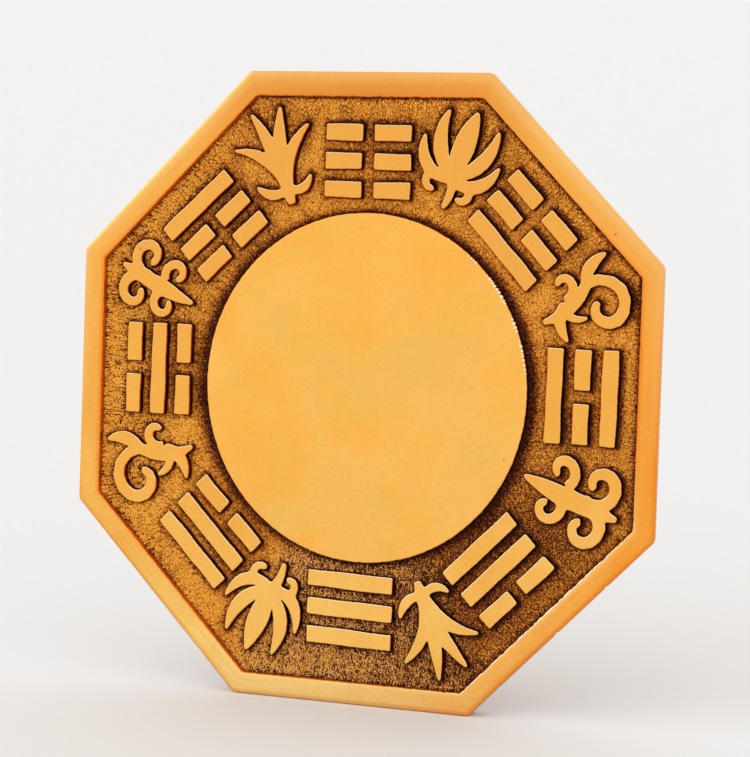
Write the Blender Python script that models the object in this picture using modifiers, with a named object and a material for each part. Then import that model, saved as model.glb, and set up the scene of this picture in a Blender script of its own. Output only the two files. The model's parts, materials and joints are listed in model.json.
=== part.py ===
"""Bagua mirror: an eight-sided brass plaque with a round mirror, eight trigrams and eight corner scrolls.

It stands on its lower edge and a folding strut, and has a swinging ring to hang it by.
The plaque is built face up: x to its right, y to its top and z out of its face, polished level at z = 0.
An empty then stands it on its lower edge, leaning back, with its face towards -Y.
"""
import math

import bmesh
import bpy
from mathutils import Vector

# Clearances
bond_gap = 0.0003
hardware_gap = 0.0002
running_clearance = 0.0002
side_clearance = 0.0004
hole_clearance = 0.0003
cut_overrun = 0.001

# Mirror: a polished disc let into a turned seat, a little to the right of and above the plaque's middle
mirror_radius = 0.0359
mirror_seat_depth = 0.0006
mirror_edge_round = 0.00025
mirror_offset_x = 0.0010
mirror_offset_y = 0.0004

# Corner scrolls, drawn in shares of scroll_size and kept clear of the disc, the rim's corner and the bars
scroll_size = 0.0097
scroll_reach_share = 1.12
scroll_foot_clearance = 0.0044
scroll_tip_clearance = 0.00313
scroll_side_clearance = 0.0017
scroll_reach = scroll_size * scroll_reach_share
scroll_radius = mirror_radius + scroll_foot_clearance + scroll_reach

# Plaque: a plate with a raised rim, whose inner corners lie beyond the scrolls
half_corner = math.pi / 8
rim_width = 0.0048
half_across_flats = (scroll_radius + scroll_reach + scroll_tip_clearance) * math.cos(half_corner) + rim_width
relief_depth = 0.0016
plaque_floor = 0.0025
plaque_thickness = relief_depth + mirror_seat_depth + bond_gap + plaque_floor
outer_corner_radius = 0.0020
inner_corner_radius = 0.0014
front_edge_round = 0.0004
side_wall_height = 0.0012
side_slope = math.radians(20.0)
back_edge_chamfer = 0.0003
lean = math.radians(6.0)

# Trigrams: three rows of bars, a whole bar or two half bars in a row, as long as the scrolls leave room for
trigram_margin = 0.0035
trigram_bar_width = 0.0034
trigram_row_gap = 0.00245
trigram_bar_break = 0.0027
trigram_bar_edge = 0.00018
trigram_row_pitch = trigram_bar_width + trigram_row_gap
trigram_inner_radius = mirror_radius + trigram_margin + trigram_bar_width / 2
trigram_outer_radius = trigram_inner_radius + 2 * trigram_row_pitch
corner_room = trigram_outer_radius * math.sin(half_corner) - scroll_size - scroll_side_clearance
trigram_bar_length = 2 * corner_room / math.cos(half_corner)

# Screws
screw_head_radius = 0.0015
screw_head_height = 0.0005
screw_shank_radius = 0.0008
screw_end_wall = 0.0007
screw_grip = plaque_floor - hole_clearance - screw_end_wall
screw_slot_width = 0.0004
screw_slot_depth = 0.0003

# Hanging ring and the strap that is folded round its bar
ring_top_margin = 0.012
ring_height = 2 * half_across_flats - ring_top_margin
ring_wire_radius = 0.0009
ring_bar_corner_radius = 0.0015
ring_side_play = 0.0012
ring_screw_clearance = 0.0004
strap_width = 0.007
strap_thickness = 0.0008
strap_corner_radius = 0.0020
strap_barrel_wall = 0.0011
strap_screw_gap = 0.0005
strap_end_margin = 0.0032
strip_setback = 0.0001
strap_barrel_radius = ring_wire_radius + running_clearance + strap_barrel_wall
strap_upper_screw_drop = strap_barrel_radius + hardware_gap + screw_head_radius
strap_lower_screw_drop = strap_upper_screw_drop + 2 * screw_head_radius + strap_screw_gap
strap_length = strap_lower_screw_drop + strap_end_margin
ring_width = strap_width + 2 * (ring_bar_corner_radius + ring_side_play)
ring_drop = strap_lower_screw_drop + screw_head_radius + ring_screw_clearance + ring_wire_radius

# Strut: a screwed-on leaf, a hinge pin and a leg that folds flat against the back
strut_spread = math.radians(11.5)
hinge_pin_radius = 0.0010
hinge_pin_head_radius = 0.0015
hinge_pin_head_height = 0.0006
knuckle_wall = 0.0010
knuckle_radius = hinge_pin_radius + running_clearance + knuckle_wall
leg_knuckle_width = 0.0084
leg_thickness = 0.0012
leg_top_width = 0.022
leg_foot_width = 0.015
leg_corner_radius = 0.003
foot_roll_radius = 0.0015
heel_length = (knuckle_radius - leg_thickness / 2 * math.cos(strut_spread)) / math.sin(strut_spread)
leaf_wing_width = 0.0084
leaf_bridge = 0.0020
leaf_thickness = 0.0008
leaf_corner_radius = 0.0018
half_notch = leg_knuckle_width / 2 + side_clearance
notch_height = heel_length + side_clearance
leaf_width = 2 * (half_notch + leaf_wing_width)
leaf_height = notch_height + leaf_bridge
leaf_to_strap_gap = 0.0019
hinge_height = ring_height - strap_length - leaf_to_strap_gap - leaf_height

# Smoothness
corner_steps = 4
mirror_steps = 96
round_steps = 24
small_round_steps = 16
curl_step = 30

# Each trigram: compass name, its direction, whether its inner, middle and outer rows are whole bars,
# how far it is turned, and how far its bars are shifted outwards and to the right, as shares of a bar's width
trigram_shares = (
    ("n", 90, (False, False, False), -0.4, -0.09, 0.12),
    ("ne", 45, (True, False, False), -1.5, 0.38, 0.20),
    ("e", 0, (True, False, True), -0.7, 0.44, -0.26),
    ("se", -45, (True, True, False), -0.5, 0.12, 0.60),
    ("s", -90, (True, True, True), -1.7, -0.41, 0.16),
    ("sw", -135, (False, True, True), -0.1, -0.34, 0.32),
    ("w", 180, (False, True, False), -0.6, -0.12, 0.62),
    ("nw", 135, (False, False, True), -2.4, 0.06, -0.34),
)

# Each corner scroll: compass name, its direction, its size as a share of scroll_size,
# how far it is shifted outwards and to the right as shares of a bar's width, and how far it is turned
scroll_shares = (
    ("nne", 67.5, 0.96, 0.12, 0.21, 0),
    ("ene", 22.5, 0.94, 0.35, 0.21, 2),
    ("ese", -22.5, 1.03, 0.0, -0.09, 0),
    ("sse", -67.5, 0.99, 0.0, 0.29, 0),
    ("ssw", -112.5, 0.95, -0.18, 0.29, 0),
    ("wsw", -157.5, 1.0, -0.09, 0.47, 0),
    ("wnw", 157.5, 0.90, 0.18, 0.15, -2),
    ("nnw", 112.5, 1.0, 0.0, -0.09, 0),
)

# The scroll designs, a stroke a line, in shares of a scroll's size. A curl has a centre, its first and last
# radius and its first and last angle. A bow has two ends and how far it stands off their straight line.
# Then come a stroke's widths at its start, middle and end. A pair is drawn on both sides, as in a mirror.
lotus_shares = (
    ("pair", "bow", (-0.02, -0.42), (-0.62, 0.92), 0.24, (0.14, 0.34, 0.06)),
    ("pair", "bow", (-0.02, -0.50), (-0.96, 0.22), 0.28, (0.14, 0.30, 0.06)),
    ("pair", "curl", (-0.34, -0.70), (0.30, 0.10), (60, 300), (0.16, 0.18, 0.12)),
    ("single", "bow", (0.0, -0.45), (0.0, 1.12), 0.0, (0.16, 0.52, 0.06)),
    ("single", "bow", (0.0, -0.36), (0.08, -1.12), 0.08, (0.22, 0.20, 0.10)),
)
wave_shares = (
    ("single", "curl", (0.22, 0.38), (0.66, 0.16), (200, -150), (0.22, 0.28, 0.14)),
    ("single", "bow", (-0.42, 0.20), (0.0, -1.08), 0.16, (0.22, 0.28, 0.10)),
    ("single", "curl", (-0.56, -0.36), (0.32, 0.10), (-10, 250), (0.18, 0.20, 0.12)),
    ("single", "bow", (-0.20, -0.42), (0.62, -0.70), -0.16, (0.18, 0.26, 0.06)),
    ("single", "bow", (-0.36, 0.12), (-0.84, 0.86), 0.14, (0.16, 0.28, 0.06)),
    ("single", "bow", (-0.05, -0.55), (0.30, -0.05), -0.1, (0.12, 0.18, 0.06)),
)
cloud_shares = (
    ("pair", "curl", (-0.47, 0.42), (0.46, 0.13), (-25, 330), (0.26, 0.24, 0.16)),
    ("pair", "curl", (-0.40, -0.42), (0.34, 0.10), (40, 345), (0.22, 0.20, 0.14)),
    ("single", "bow", (0.0, 1.02), (0.04, -1.12), 0.03, (0.10, 0.40, 0.08)),
)
orchid_shares = (
    ("single", "bow", (0.05, -1.05), (-0.92, 0.42), -0.30, (0.14, 0.30, 0.06)),
    ("single", "bow", (0.05, -1.05), (-0.42, 1.00), -0.14, (0.16, 0.34, 0.06)),
    ("single", "bow", (0.05, -1.05), (0.30, 1.10), 0.10, (0.16, 0.32, 0.06)),
    ("single", "bow", (0.05, -1.05), (0.94, 0.50), 0.34, (0.14, 0.30, 0.06)),
    ("single", "bow", (0.12, -0.75), (0.70, -0.42), -0.12, (0.14, 0.22, 0.06)),
    ("single", "bow", (-0.02, -0.75), (-0.58, -0.60), 0.14, (0.14, 0.20, 0.06)),
)

brass = (0.86, 0.58, 0.22, 1.0)
mirror_brass = (0.93, 0.68, 0.29, 1.0)
patina = (0.42, 0.25, 0.09, 1.0)
hardware_brass = (0.70, 0.50, 0.22, 1.0)


def new_material(name, colour, roughness):
    """A brass material."""
    material = bpy.data.materials.new(name)
    material.use_nodes = True
    shader = material.node_tree.nodes["Principled BSDF"]
    shader.inputs["Base Color"].default_value = colour
    shader.inputs["Roughness"].default_value = roughness
    shader.inputs["Metallic"].default_value = 1.0
    return material


def new_collection(name):
    """A collection under the scene's own."""
    collection = bpy.data.collections.new(name)
    bpy.context.scene.collection.children.link(collection)
    return collection


def new_object(name, mesh, collection, parent, location=(0, 0, 0), rotation=(0, 0, 0)):
    """An object placed on its parent."""
    placed = bpy.data.objects.new(name, mesh)
    collection.objects.link(placed)
    placed.parent = parent
    placed.location = location
    placed.rotation_euler = rotation
    return placed


def finish(placed, colour, roughness, smooth_angle=40):
    """Give a part its own material and smooth its round stretches."""
    placed.data.materials.clear()
    placed.data.materials.append(new_material(placed.name + "_brass", colour, roughness))
    placed.data.shade_smooth()
    placed.data.set_sharp_from_angle(angle=math.radians(smooth_angle))
    return placed


def boolean(target, operation, cutter):
    """Cut target by cutter, or join them. The cutter may be an object or a whole collection."""
    modifier = target.modifiers.new(operation.lower(), "BOOLEAN")
    modifier.operation = operation
    modifier.solver = "EXACT"
    if isinstance(cutter, bpy.types.Collection):
        modifier.operand_type = "COLLECTION"
        modifier.collection = cutter
    else:
        modifier.object = cutter


def hide_cutter(cutter):
    """Show a cutter as wire and keep it out of renders."""
    cutter.hide_render = True
    cutter.display_type = "WIRE"
    return cutter


def rounded_outline(corners, radii, steps=corner_steps):
    """Points of a polygon, given counterclockwise, whose corners are arcs of the given radii."""
    outline = []
    for i, corner in enumerate(corners):
        here = Vector(corner)
        back = (Vector(corners[i - 1]) - here).normalized()
        ahead = (Vector(corners[(i + 1) % len(corners)]) - here).normalized()
        half = back.angle(ahead) / 2
        radius = radii[i]
        centre = here + (back + ahead).normalized() * (radius / math.sin(half))
        start = here + back * (radius / math.tan(half)) - centre
        sweep = math.pi - 2 * half
        turn = 1 if back.x * ahead.y - back.y * ahead.x < 0 else -1
        for step in range(steps + 1):
            angle = turn * sweep * step / steps
            x = start.x * math.cos(angle) - start.y * math.sin(angle)
            y = start.x * math.sin(angle) + start.y * math.cos(angle)
            outline.append((centre.x + x, centre.y + y))
    return outline


def octagon(apothem, radius):
    """Outline of an octagon with rounded corners and a flat at its foot."""
    reach = apothem / math.cos(half_corner)
    corners = []
    for i in range(8):
        angle = half_corner * (2 * i + 1)
        corners.append((reach * math.cos(angle), reach * math.sin(angle)))
    return rounded_outline(corners, [radius] * 8)


def box_outline(width, top, bottom, radii):
    """Outline of an upright box between two heights, with its corners' radii from the top right round."""
    half = width / 2
    corners = ((half, top), (-half, top), (-half, bottom), (half, bottom))
    return rounded_outline(corners, radii)


def slab_mesh(name, outline, low, high):
    """Mesh of a flat outline with a thickness from z = low to z = high, from a filled 2D curve."""
    curve = bpy.data.curves.new(name, "CURVE")
    curve.dimensions = "2D"
    curve.fill_mode = "BOTH"
    curve.extrude = (high - low) / 2
    spline = curve.splines.new("POLY")
    spline.points.add(len(outline) - 1)
    for point, (x, y) in zip(spline.points, outline):
        point.co = (x, y, 0, 1)
    spline.use_cyclic_u = True
    drawn = bpy.data.objects.new(name, curve)
    bpy.context.scene.collection.objects.link(drawn)
    bpy.context.view_layer.update()
    graph = bpy.context.evaluated_depsgraph_get()
    mesh = bpy.data.meshes.new_from_object(drawn.evaluated_get(graph))
    bpy.data.objects.remove(drawn)
    shape = bmesh.new()
    shape.from_mesh(mesh)
    bmesh.ops.remove_doubles(shape, verts=shape.verts, dist=(high - low) / 1000)
    bmesh.ops.translate(shape, verts=shape.verts, vec=(0, 0, (low + high) / 2))
    bmesh.ops.recalc_face_normals(shape, faces=shape.faces)
    shape.to_mesh(mesh)
    shape.free()
    return mesh


def rod_mesh(name, radius, length, steps=round_steps):
    """Mesh of a rod along x, centred on the origin."""
    mesh = bpy.data.meshes.new(name)
    shape = bmesh.new()
    bmesh.ops.create_cone(
        shape, cap_ends=True, cap_tris=False, segments=steps, radius1=radius, radius2=radius, depth=length
    )
    for vertex in shape.verts:
        vertex.co = (vertex.co.z, vertex.co.y, -vertex.co.x)
    shape.to_mesh(mesh)
    shape.free()
    return mesh


def box_mesh(name, low, high):
    """Mesh of a box between two corners."""
    mesh = bpy.data.meshes.new(name)
    shape = bmesh.new()
    bmesh.ops.create_cube(shape, size=1)
    for vertex in shape.verts:
        vertex.co = [low[k] if vertex.co[k] < 0 else high[k] for k in range(3)]
    shape.to_mesh(mesh)
    shape.free()
    return mesh


def turned(name, profile, steps, collection, parent, location, rotation=(0, 0, 0)):
    """A turned part: a profile of (radius, height) points, top to bottom, spun round z."""
    mesh = bpy.data.meshes.new(name)
    points = [(radius, 0, height) for radius, height in profile]
    edges = [(i, i + 1) for i in range(len(points) - 1)]
    mesh.from_pydata(points, edges, [])
    placed = new_object(name, mesh, collection, parent, location, rotation)
    screw = placed.modifiers.new("turn", "SCREW")
    screw.axis = "Z"
    screw.steps = steps
    screw.render_steps = steps
    screw.use_merge_vertices = True
    screw.merge_threshold = 0.00001
    return placed


def arc_points(centre, radius, first, last, steps=corner_steps):
    """Points of an arc, its angles in degrees."""
    points = []
    for step in range(steps + 1):
        angle = math.radians(first + (last - first) * step / steps)
        points.append((centre[0] + radius * math.cos(angle), centre[1] + radius * math.sin(angle)))
    return points


def bevel_rim(shape, level, width, steps):
    """Bevel the edges that run round a slab at one of its two levels."""
    edges = [edge for edge in shape.edges if all(vertex.co.z == level for vertex in edge.verts)]
    edges = [edge for edge in edges if any(abs(face.normal.z) < 0.5 for face in edge.link_faces)]
    bmesh.ops.bevel(shape, geom=edges, offset=width, segments=steps, profile=0.5, affect="EDGES")


def slope_in(shape, wall_height, slope, half_width):
    """Slope the side of a slab in towards its back, from wall_height below its front."""
    everything = [*shape.verts, *shape.edges, *shape.faces]
    bmesh.ops.bisect_plane(shape, geom=everything, plane_co=(0, 0, -wall_height), plane_no=(0, 0, 1))
    lowest = min(vertex.co.z for vertex in shape.verts)
    narrowing = 1 - (-wall_height - lowest) * math.tan(slope) / half_width
    for vertex in shape.verts:
        if vertex.co.z == lowest:
            vertex.co.x *= narrowing
            vertex.co.y *= narrowing


def plaque_casting(parts, cutters, frame):
    """The plate with its raised rim, the seat for the mirror and the screw holes in its back."""
    outline = octagon(half_across_flats, outer_corner_radius)
    mesh = slab_mesh("plaque_casting", outline, -plaque_thickness, 0)
    shape = bmesh.new()
    shape.from_mesh(mesh)
    slope_in(shape, side_wall_height, side_slope, half_across_flats)
    highest = max(vertex.co.z for vertex in shape.verts)
    bevel_rim(shape, highest, front_edge_round, corner_steps)
    lowest = min(vertex.co.z for vertex in shape.verts)
    bevel_rim(shape, lowest, back_edge_chamfer, 1)
    shape.to_mesh(mesh)
    shape.free()
    casting = new_object("plaque_casting", mesh, parts, frame)

    field = octagon(half_across_flats - rim_width, inner_corner_radius)
    recess_mesh = slab_mesh("field_cutter", field, -relief_depth, cut_overrun)
    boolean(casting, "DIFFERENCE", hide_cutter(new_object("field_cutter", recess_mesh, cutters, frame)))

    seat_radius = mirror_radius + bond_gap
    seat_floor = -relief_depth - mirror_seat_depth - bond_gap
    profile = ((0, cut_overrun), (seat_radius, cut_overrun), (seat_radius, seat_floor), (0, seat_floor))
    middle = (mirror_offset_x, mirror_offset_y, 0)
    seat = turned("mirror_seat_cutter", profile, mirror_steps, cutters, frame, middle)
    boolean(casting, "DIFFERENCE", hide_cutter(seat))

    hole_radius = screw_shank_radius + hole_clearance
    hole_depth = screw_grip + hole_clearance
    for name, x, y in screw_places():
        mouth = -plaque_thickness - cut_overrun
        bottom = -plaque_thickness + hole_depth
        profile = ((0, bottom), (hole_radius, bottom), (hole_radius, mouth), (0, mouth))
        hole = turned(name + "_hole_cutter", profile, small_round_steps, cutters, frame, (x, y, 0))
        boolean(casting, "DIFFERENCE", hide_cutter(hole))
    return finish(casting, patina, 0.45)


def mirror_disc(parts, frame):
    """The polished disc, level with the rim, on its bond line in the seat."""
    back = -relief_depth - mirror_seat_depth
    inner = mirror_radius - mirror_edge_round
    profile = [(0, 0)]
    profile += arc_points((inner, -mirror_edge_round), mirror_edge_round, 90, 0, 2)
    profile += [(mirror_radius, back), (0, back)]
    middle = (mirror_offset_x, mirror_offset_y, 0)
    disc = turned("mirror_disc", profile, mirror_steps, parts, frame, middle)
    return finish(disc, mirror_brass, 0.18)


def trigram_bar(name, length, x, y, turn, parts, frame):
    """One bar of a trigram: a block with broken edges, on its bond line."""
    low = (-length / 2, -trigram_bar_width / 2, bond_gap - relief_depth)
    high = (length / 2, trigram_bar_width / 2, 0)
    bar = new_object(name, box_mesh(name, low, high), parts, frame, (x, y, 0), (0, 0, turn))
    bevel = bar.modifiers.new("broken_edges", "BEVEL")
    bevel.width = trigram_bar_edge
    bevel.segments = 1
    return finish(bar, brass, 0.25, 20)


def trigram(name, direction, whole_rows, turn, outward_share, right_share, parts, frame):
    """Three rows of bars, across the direction in which the trigram lies from the plaque's middle."""
    out = Vector((math.cos(math.radians(direction)), math.sin(math.radians(direction))))
    right = Vector((out.y, -out.x))
    angle = math.radians(direction - 90 + turn)
    half_bar = (trigram_bar_length - trigram_bar_break) / 2
    half_shift = (half_bar + trigram_bar_break) / 2
    lengthwise = Vector((math.cos(angle), math.sin(angle)))
    for row, (row_name, whole) in enumerate(zip(("inner", "middle", "outer"), whole_rows)):
        distance = trigram_inner_radius + trigram_row_pitch * row + trigram_bar_width * outward_share
        centre = out * distance + right * (trigram_bar_width * right_share)
        if whole:
            label = f"trigram_{name}_{row_name}"
            trigram_bar(label, trigram_bar_length, centre.x, centre.y, angle, parts, frame)
            continue
        for side, sign in (("left", -1), ("right", 1)):
            place = centre + lengthwise * (sign * half_shift)
            trigram_bar(f"trigram_{name}_{row_name}_{side}", half_bar, place.x, place.y, angle, parts, frame)


def curl(centre, radii, angles):
    """Points of a spiral: its radius and its angle run evenly from their first to their last value."""
    steps = math.ceil(abs(angles[1] - angles[0]) / curl_step)
    path = []
    for i in range(steps + 1):
        t = i / steps
        radius = radii[0] + (radii[1] - radii[0]) * t
        angle = math.radians(angles[0] + (angles[1] - angles[0]) * t)
        path.append((centre[0] + radius * math.cos(angle), centre[1] + radius * math.sin(angle)))
    return path


def bow(start, end, bend, points=9):
    """Points of a bow from start to end that stands off their straight line by bend at its middle."""
    path = []
    dx = end[0] - start[0]
    dy = end[1] - start[1]
    length = math.hypot(dx, dy)
    for i in range(points):
        t = i / (points - 1)
        off = 4 * bend * t * (1 - t)
        path.append((start[0] + dx * t - dy / length * off, start[1] + dy * t + dx / length * off))
    return path


def ribbon(path, widths):
    """Closed outline of a stroke along a path: its width runs through those at its start, middle and end."""
    first, middle, last = widths
    left = []
    right = []
    count = len(path)
    for i, (x, y) in enumerate(path):
        before = path[max(i - 1, 0)]
        after = path[min(i + 1, count - 1)]
        dx = after[0] - before[0]
        dy = after[1] - before[1]
        length = math.hypot(dx, dy)
        t = i / (count - 1)
        half = (first * (1 - t) * (1 - 2 * t) + middle * 4 * t * (1 - t) + last * t * (2 * t - 1)) / 2
        left.append((x - dy / length * half, y + dx / length * half))
        right.append((x + dy / length * half, y - dx / length * half))
    return right + left[::-1]


def mirrored(strokes):
    """The same strokes seen in a mirror, their outlines still running the same way round."""
    return [[(-x, y) for x, y in reversed(outline)] for outline in strokes]


def scroll_strokes(design_shares):
    """Outlines of a design's strokes, in shares of a scroll's size."""
    strokes = []
    for repeat, form, *places, widths in design_shares:
        path = curl(*places) if form == "curl" else bow(*places)
        stroke = ribbon(path, widths)
        strokes.append(stroke)
        if repeat == "pair":
            strokes += mirrored([stroke])
    return strokes


def corner_scroll(name, strokes_share, places, parts, cutters, frame):
    """One scroll: its strokes joined into one raised piece, its top towards the plaque's corner."""
    direction, size_share, outward_share, right_share, turn = places
    strokes = bpy.data.collections.new(name + "_strokes")
    cutters.children.link(strokes)
    out = Vector((math.cos(math.radians(direction)), math.sin(math.radians(direction)), 0))
    right = Vector((out.y, -out.x, 0))
    distance = scroll_radius + trigram_bar_width * outward_share
    place = out * distance + right * (trigram_bar_width * right_share)
    turn = (0, 0, math.radians(direction - 90 + turn))
    size = scroll_size * size_share
    scroll = None
    for i, stroke in enumerate(strokes_share):
        outline = [(x * size, y * size) for x, y in stroke]
        if scroll is None:
            mesh = slab_mesh(name, outline, bond_gap - relief_depth, 0)
            scroll = new_object(name, mesh, parts, frame, place, turn)
            continue
        stroke_name = f"{name}_stroke_{i}"
        mesh = slab_mesh(stroke_name, outline, bond_gap - relief_depth, 0)
        hide_cutter(new_object(stroke_name, mesh, strokes, frame, place, turn))
    boolean(scroll, "UNION", strokes)
    return finish(scroll, brass, 0.25, 20)


def screw_places():
    """Each screw's name and its place on the back, in the plaque's own x and y."""
    pin_y = hinge_height - half_across_flats
    ring_y = ring_height - half_across_flats
    places = []
    for side, sign in (("left", -1), ("right", 1)):
        x = sign * (half_notch + leaf_wing_width / 2)
        places.append((f"leaf_screw_{side}", x, pin_y + (knuckle_radius + leaf_height) / 2))
    for label, drop in (("upper", strap_upper_screw_drop), ("lower", strap_lower_screw_drop)):
        places.append((f"strap_screw_{label}", 0, ring_y - drop))
    return places


def back_screw(name, x, y, plate_thickness, parts, cutters, frame):
    """A slotted cheese-head screw, its head over the plate that it holds."""
    seat = plaque_thickness + hardware_gap + strip_setback + plate_thickness + hardware_gap
    tip = -(seat - plaque_thickness + screw_grip)
    profile = [
        (0, screw_head_height),
        (screw_head_radius - screw_head_height / 2, screw_head_height),
        (screw_head_radius, screw_head_height / 2),
        (screw_head_radius, 0),
        (screw_shank_radius, 0),
        (screw_shank_radius, tip),
        (0, tip),
    ]
    screw = turned(name, profile, small_round_steps, parts, frame, (x, y, -seat), (math.pi, 0, 0))
    reach = screw_head_radius + cut_overrun
    low = (-reach, -screw_slot_width / 2, screw_head_height - screw_slot_depth)
    high = (reach, screw_slot_width / 2, screw_head_height + cut_overrun)
    slot = new_object(name + "_slot_cutter", box_mesh(name + "_slot_cutter", low, high), cutters, screw)
    slot.rotation_euler.z = x * math.pi / leaf_width + y * math.pi / half_across_flats
    boolean(screw, "DIFFERENCE", hide_cutter(slot))
    return finish(screw, hardware_brass, 0.3, 30)


def hinge_leaf(parts, cutters, frame):
    """The fixed half of the strut's hinge: a plate with two knuckles and a notch for the leg between them."""
    pin = (0, hinge_height - half_across_flats, -plaque_thickness - hardware_gap - knuckle_radius)
    front = knuckle_radius - strip_setback
    outline = box_outline(leaf_width, leaf_height, 0, [leaf_corner_radius] * 2 + [leaf_thickness / 2] * 2)
    mesh = slab_mesh("hinge_leaf", outline, front - leaf_thickness, front)
    leaf = new_object("hinge_leaf", mesh, parts, frame, pin)
    barrel_mesh = rod_mesh("leaf_barrel", knuckle_radius, leaf_width + 2 * strip_setback)
    boolean(leaf, "UNION", hide_cutter(new_object("leaf_barrel", barrel_mesh, cutters, leaf)))
    bore_mesh = rod_mesh("leaf_bore_cutter", hinge_pin_radius + running_clearance, leaf_width + cut_overrun)
    boolean(leaf, "DIFFERENCE", hide_cutter(new_object("leaf_bore_cutter", bore_mesh, cutters, leaf)))
    deep = knuckle_radius + cut_overrun
    low = (-half_notch, -deep, -deep)
    high = (half_notch, notch_height, deep)
    notch = new_object("leaf_notch_cutter", box_mesh("leaf_notch_cutter", low, high), cutters, leaf)
    boolean(leaf, "DIFFERENCE", hide_cutter(notch))
    for name, x, y in screw_places()[:2]:
        hole_mesh_radius = screw_shank_radius + hole_clearance
        top = knuckle_radius + cut_overrun
        profile = ((0, top), (hole_mesh_radius, top), (hole_mesh_radius, -top), (0, -top))
        spot = (x, y - pin[1], 0)
        hole = turned(name + "_leaf_cutter", profile, small_round_steps, cutters, leaf, spot)
        boolean(leaf, "DIFFERENCE", hide_cutter(hole))
    return finish(leaf, hardware_brass, 0.35)


def hinge_pin(parts, frame):
    """The pin through the knuckles, with a low domed head at each end."""
    half = leaf_width / 2 + strip_setback + hardware_gap
    end = half + hinge_pin_head_height
    dome = hinge_pin_head_radius - hinge_pin_head_height / 2
    top = [(0, end), (dome, end), (hinge_pin_head_radius, half), (hinge_pin_radius, half)]
    profile = top + [(radius, -height) for radius, height in reversed(top)]
    place = (0, hinge_height - half_across_flats, -plaque_thickness - hardware_gap - knuckle_radius)
    pin = turned("hinge_pin", profile, small_round_steps, parts, frame, place, (0, math.pi / 2, 0))
    return finish(pin, hardware_brass, 0.3)


def pivot_height():
    """Height of the hinge pin above the floor, with the plaque leaning back on its lower edge."""
    behind_edge = plaque_thickness + hardware_gap + knuckle_radius - side_wall_height
    return hinge_height * math.cos(lean) - behind_edge * math.sin(lean)


def leg_length():
    """From the pin to the middle of the foot roll, so that the roll meets the floor when the leg is open."""
    return (pivot_height() - foot_roll_radius) / math.cos(strut_spread - lean)


def strut_leg(parts, cutters, pivot):
    """The folding leg, drawn flat against the back: knuckle, heel, tapered blade and rolled foot.

    The tip of its heel comes up against the plaque's back when the leg is open.
    """
    length = leg_length()
    half_neck = leg_knuckle_width / 2
    half_top = leg_top_width / 2
    half_foot = leg_foot_width / 2
    shoulder = -knuckle_radius - side_clearance
    corners = (
        (half_neck, heel_length),
        (-half_neck, heel_length),
        (-half_neck, shoulder),
        (-half_top, shoulder),
        (-half_foot, -length),
        (half_foot, -length),
        (half_top, shoulder),
        (half_neck, shoulder),
    )
    tiny = leg_thickness / 4
    radii = (leg_thickness, leg_thickness, tiny, leg_corner_radius, tiny, tiny, leg_corner_radius, tiny)
    outline = rounded_outline(corners, radii)
    mesh = slab_mesh("strut_leg", outline, -leg_thickness / 2, leg_thickness / 2)
    leg = new_object("strut_leg", mesh, parts, pivot)
    barrel_mesh = rod_mesh("leg_barrel", knuckle_radius, leg_knuckle_width)
    boolean(leg, "UNION", hide_cutter(new_object("leg_barrel", barrel_mesh, cutters, leg)))
    roll_mesh = rod_mesh("leg_foot_roll", foot_roll_radius, leg_foot_width + leg_thickness)
    boolean(leg, "UNION", hide_cutter(new_object("leg_foot_roll", roll_mesh, cutters, leg, (0, -length, 0))))
    bore_radius = hinge_pin_radius + running_clearance
    bore_mesh = rod_mesh("leg_bore_cutter", bore_radius, leg_knuckle_width + cut_overrun)
    boolean(leg, "DIFFERENCE", hide_cutter(new_object("leg_bore_cutter", bore_mesh, cutters, leg)))
    return finish(leg, hardware_brass, 0.35)


def hanger_strap(parts, cutters, frame):
    """The strap that is folded round the ring's bar and screwed to the back."""
    axis_depth = plaque_thickness + hardware_gap + strap_barrel_radius
    place = (0, ring_height - half_across_flats, -axis_depth)
    front = strap_barrel_radius - strip_setback
    radii = [strap_thickness / 4] * 2 + [strap_corner_radius] * 2
    outline = box_outline(strap_width, 0, -strap_length, radii)
    mesh = slab_mesh("hanger_strap", outline, front - strap_thickness, front)
    strap = new_object("hanger_strap", mesh, parts, frame, place)
    barrel_mesh = rod_mesh("strap_barrel", strap_barrel_radius, strap_width + 2 * strip_setback)
    boolean(strap, "UNION", hide_cutter(new_object("strap_barrel", barrel_mesh, cutters, strap)))
    bore_mesh = rod_mesh("strap_bore_cutter", ring_wire_radius + running_clearance, strap_width + cut_overrun)
    boolean(strap, "DIFFERENCE", hide_cutter(new_object("strap_bore_cutter", bore_mesh, cutters, strap)))
    for name, x, y in screw_places()[2:]:
        radius = screw_shank_radius + hole_clearance
        top = strap_barrel_radius + cut_overrun
        profile = ((0, top), (radius, top), (radius, 0), (0, 0))
        spot = (x, y - place[1], 0)
        hole = turned(name + "_strap_cutter", profile, small_round_steps, cutters, strap, spot)
        boolean(strap, "DIFFERENCE", hide_cutter(hole))
    return finish(strap, hardware_brass, 0.35)


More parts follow.
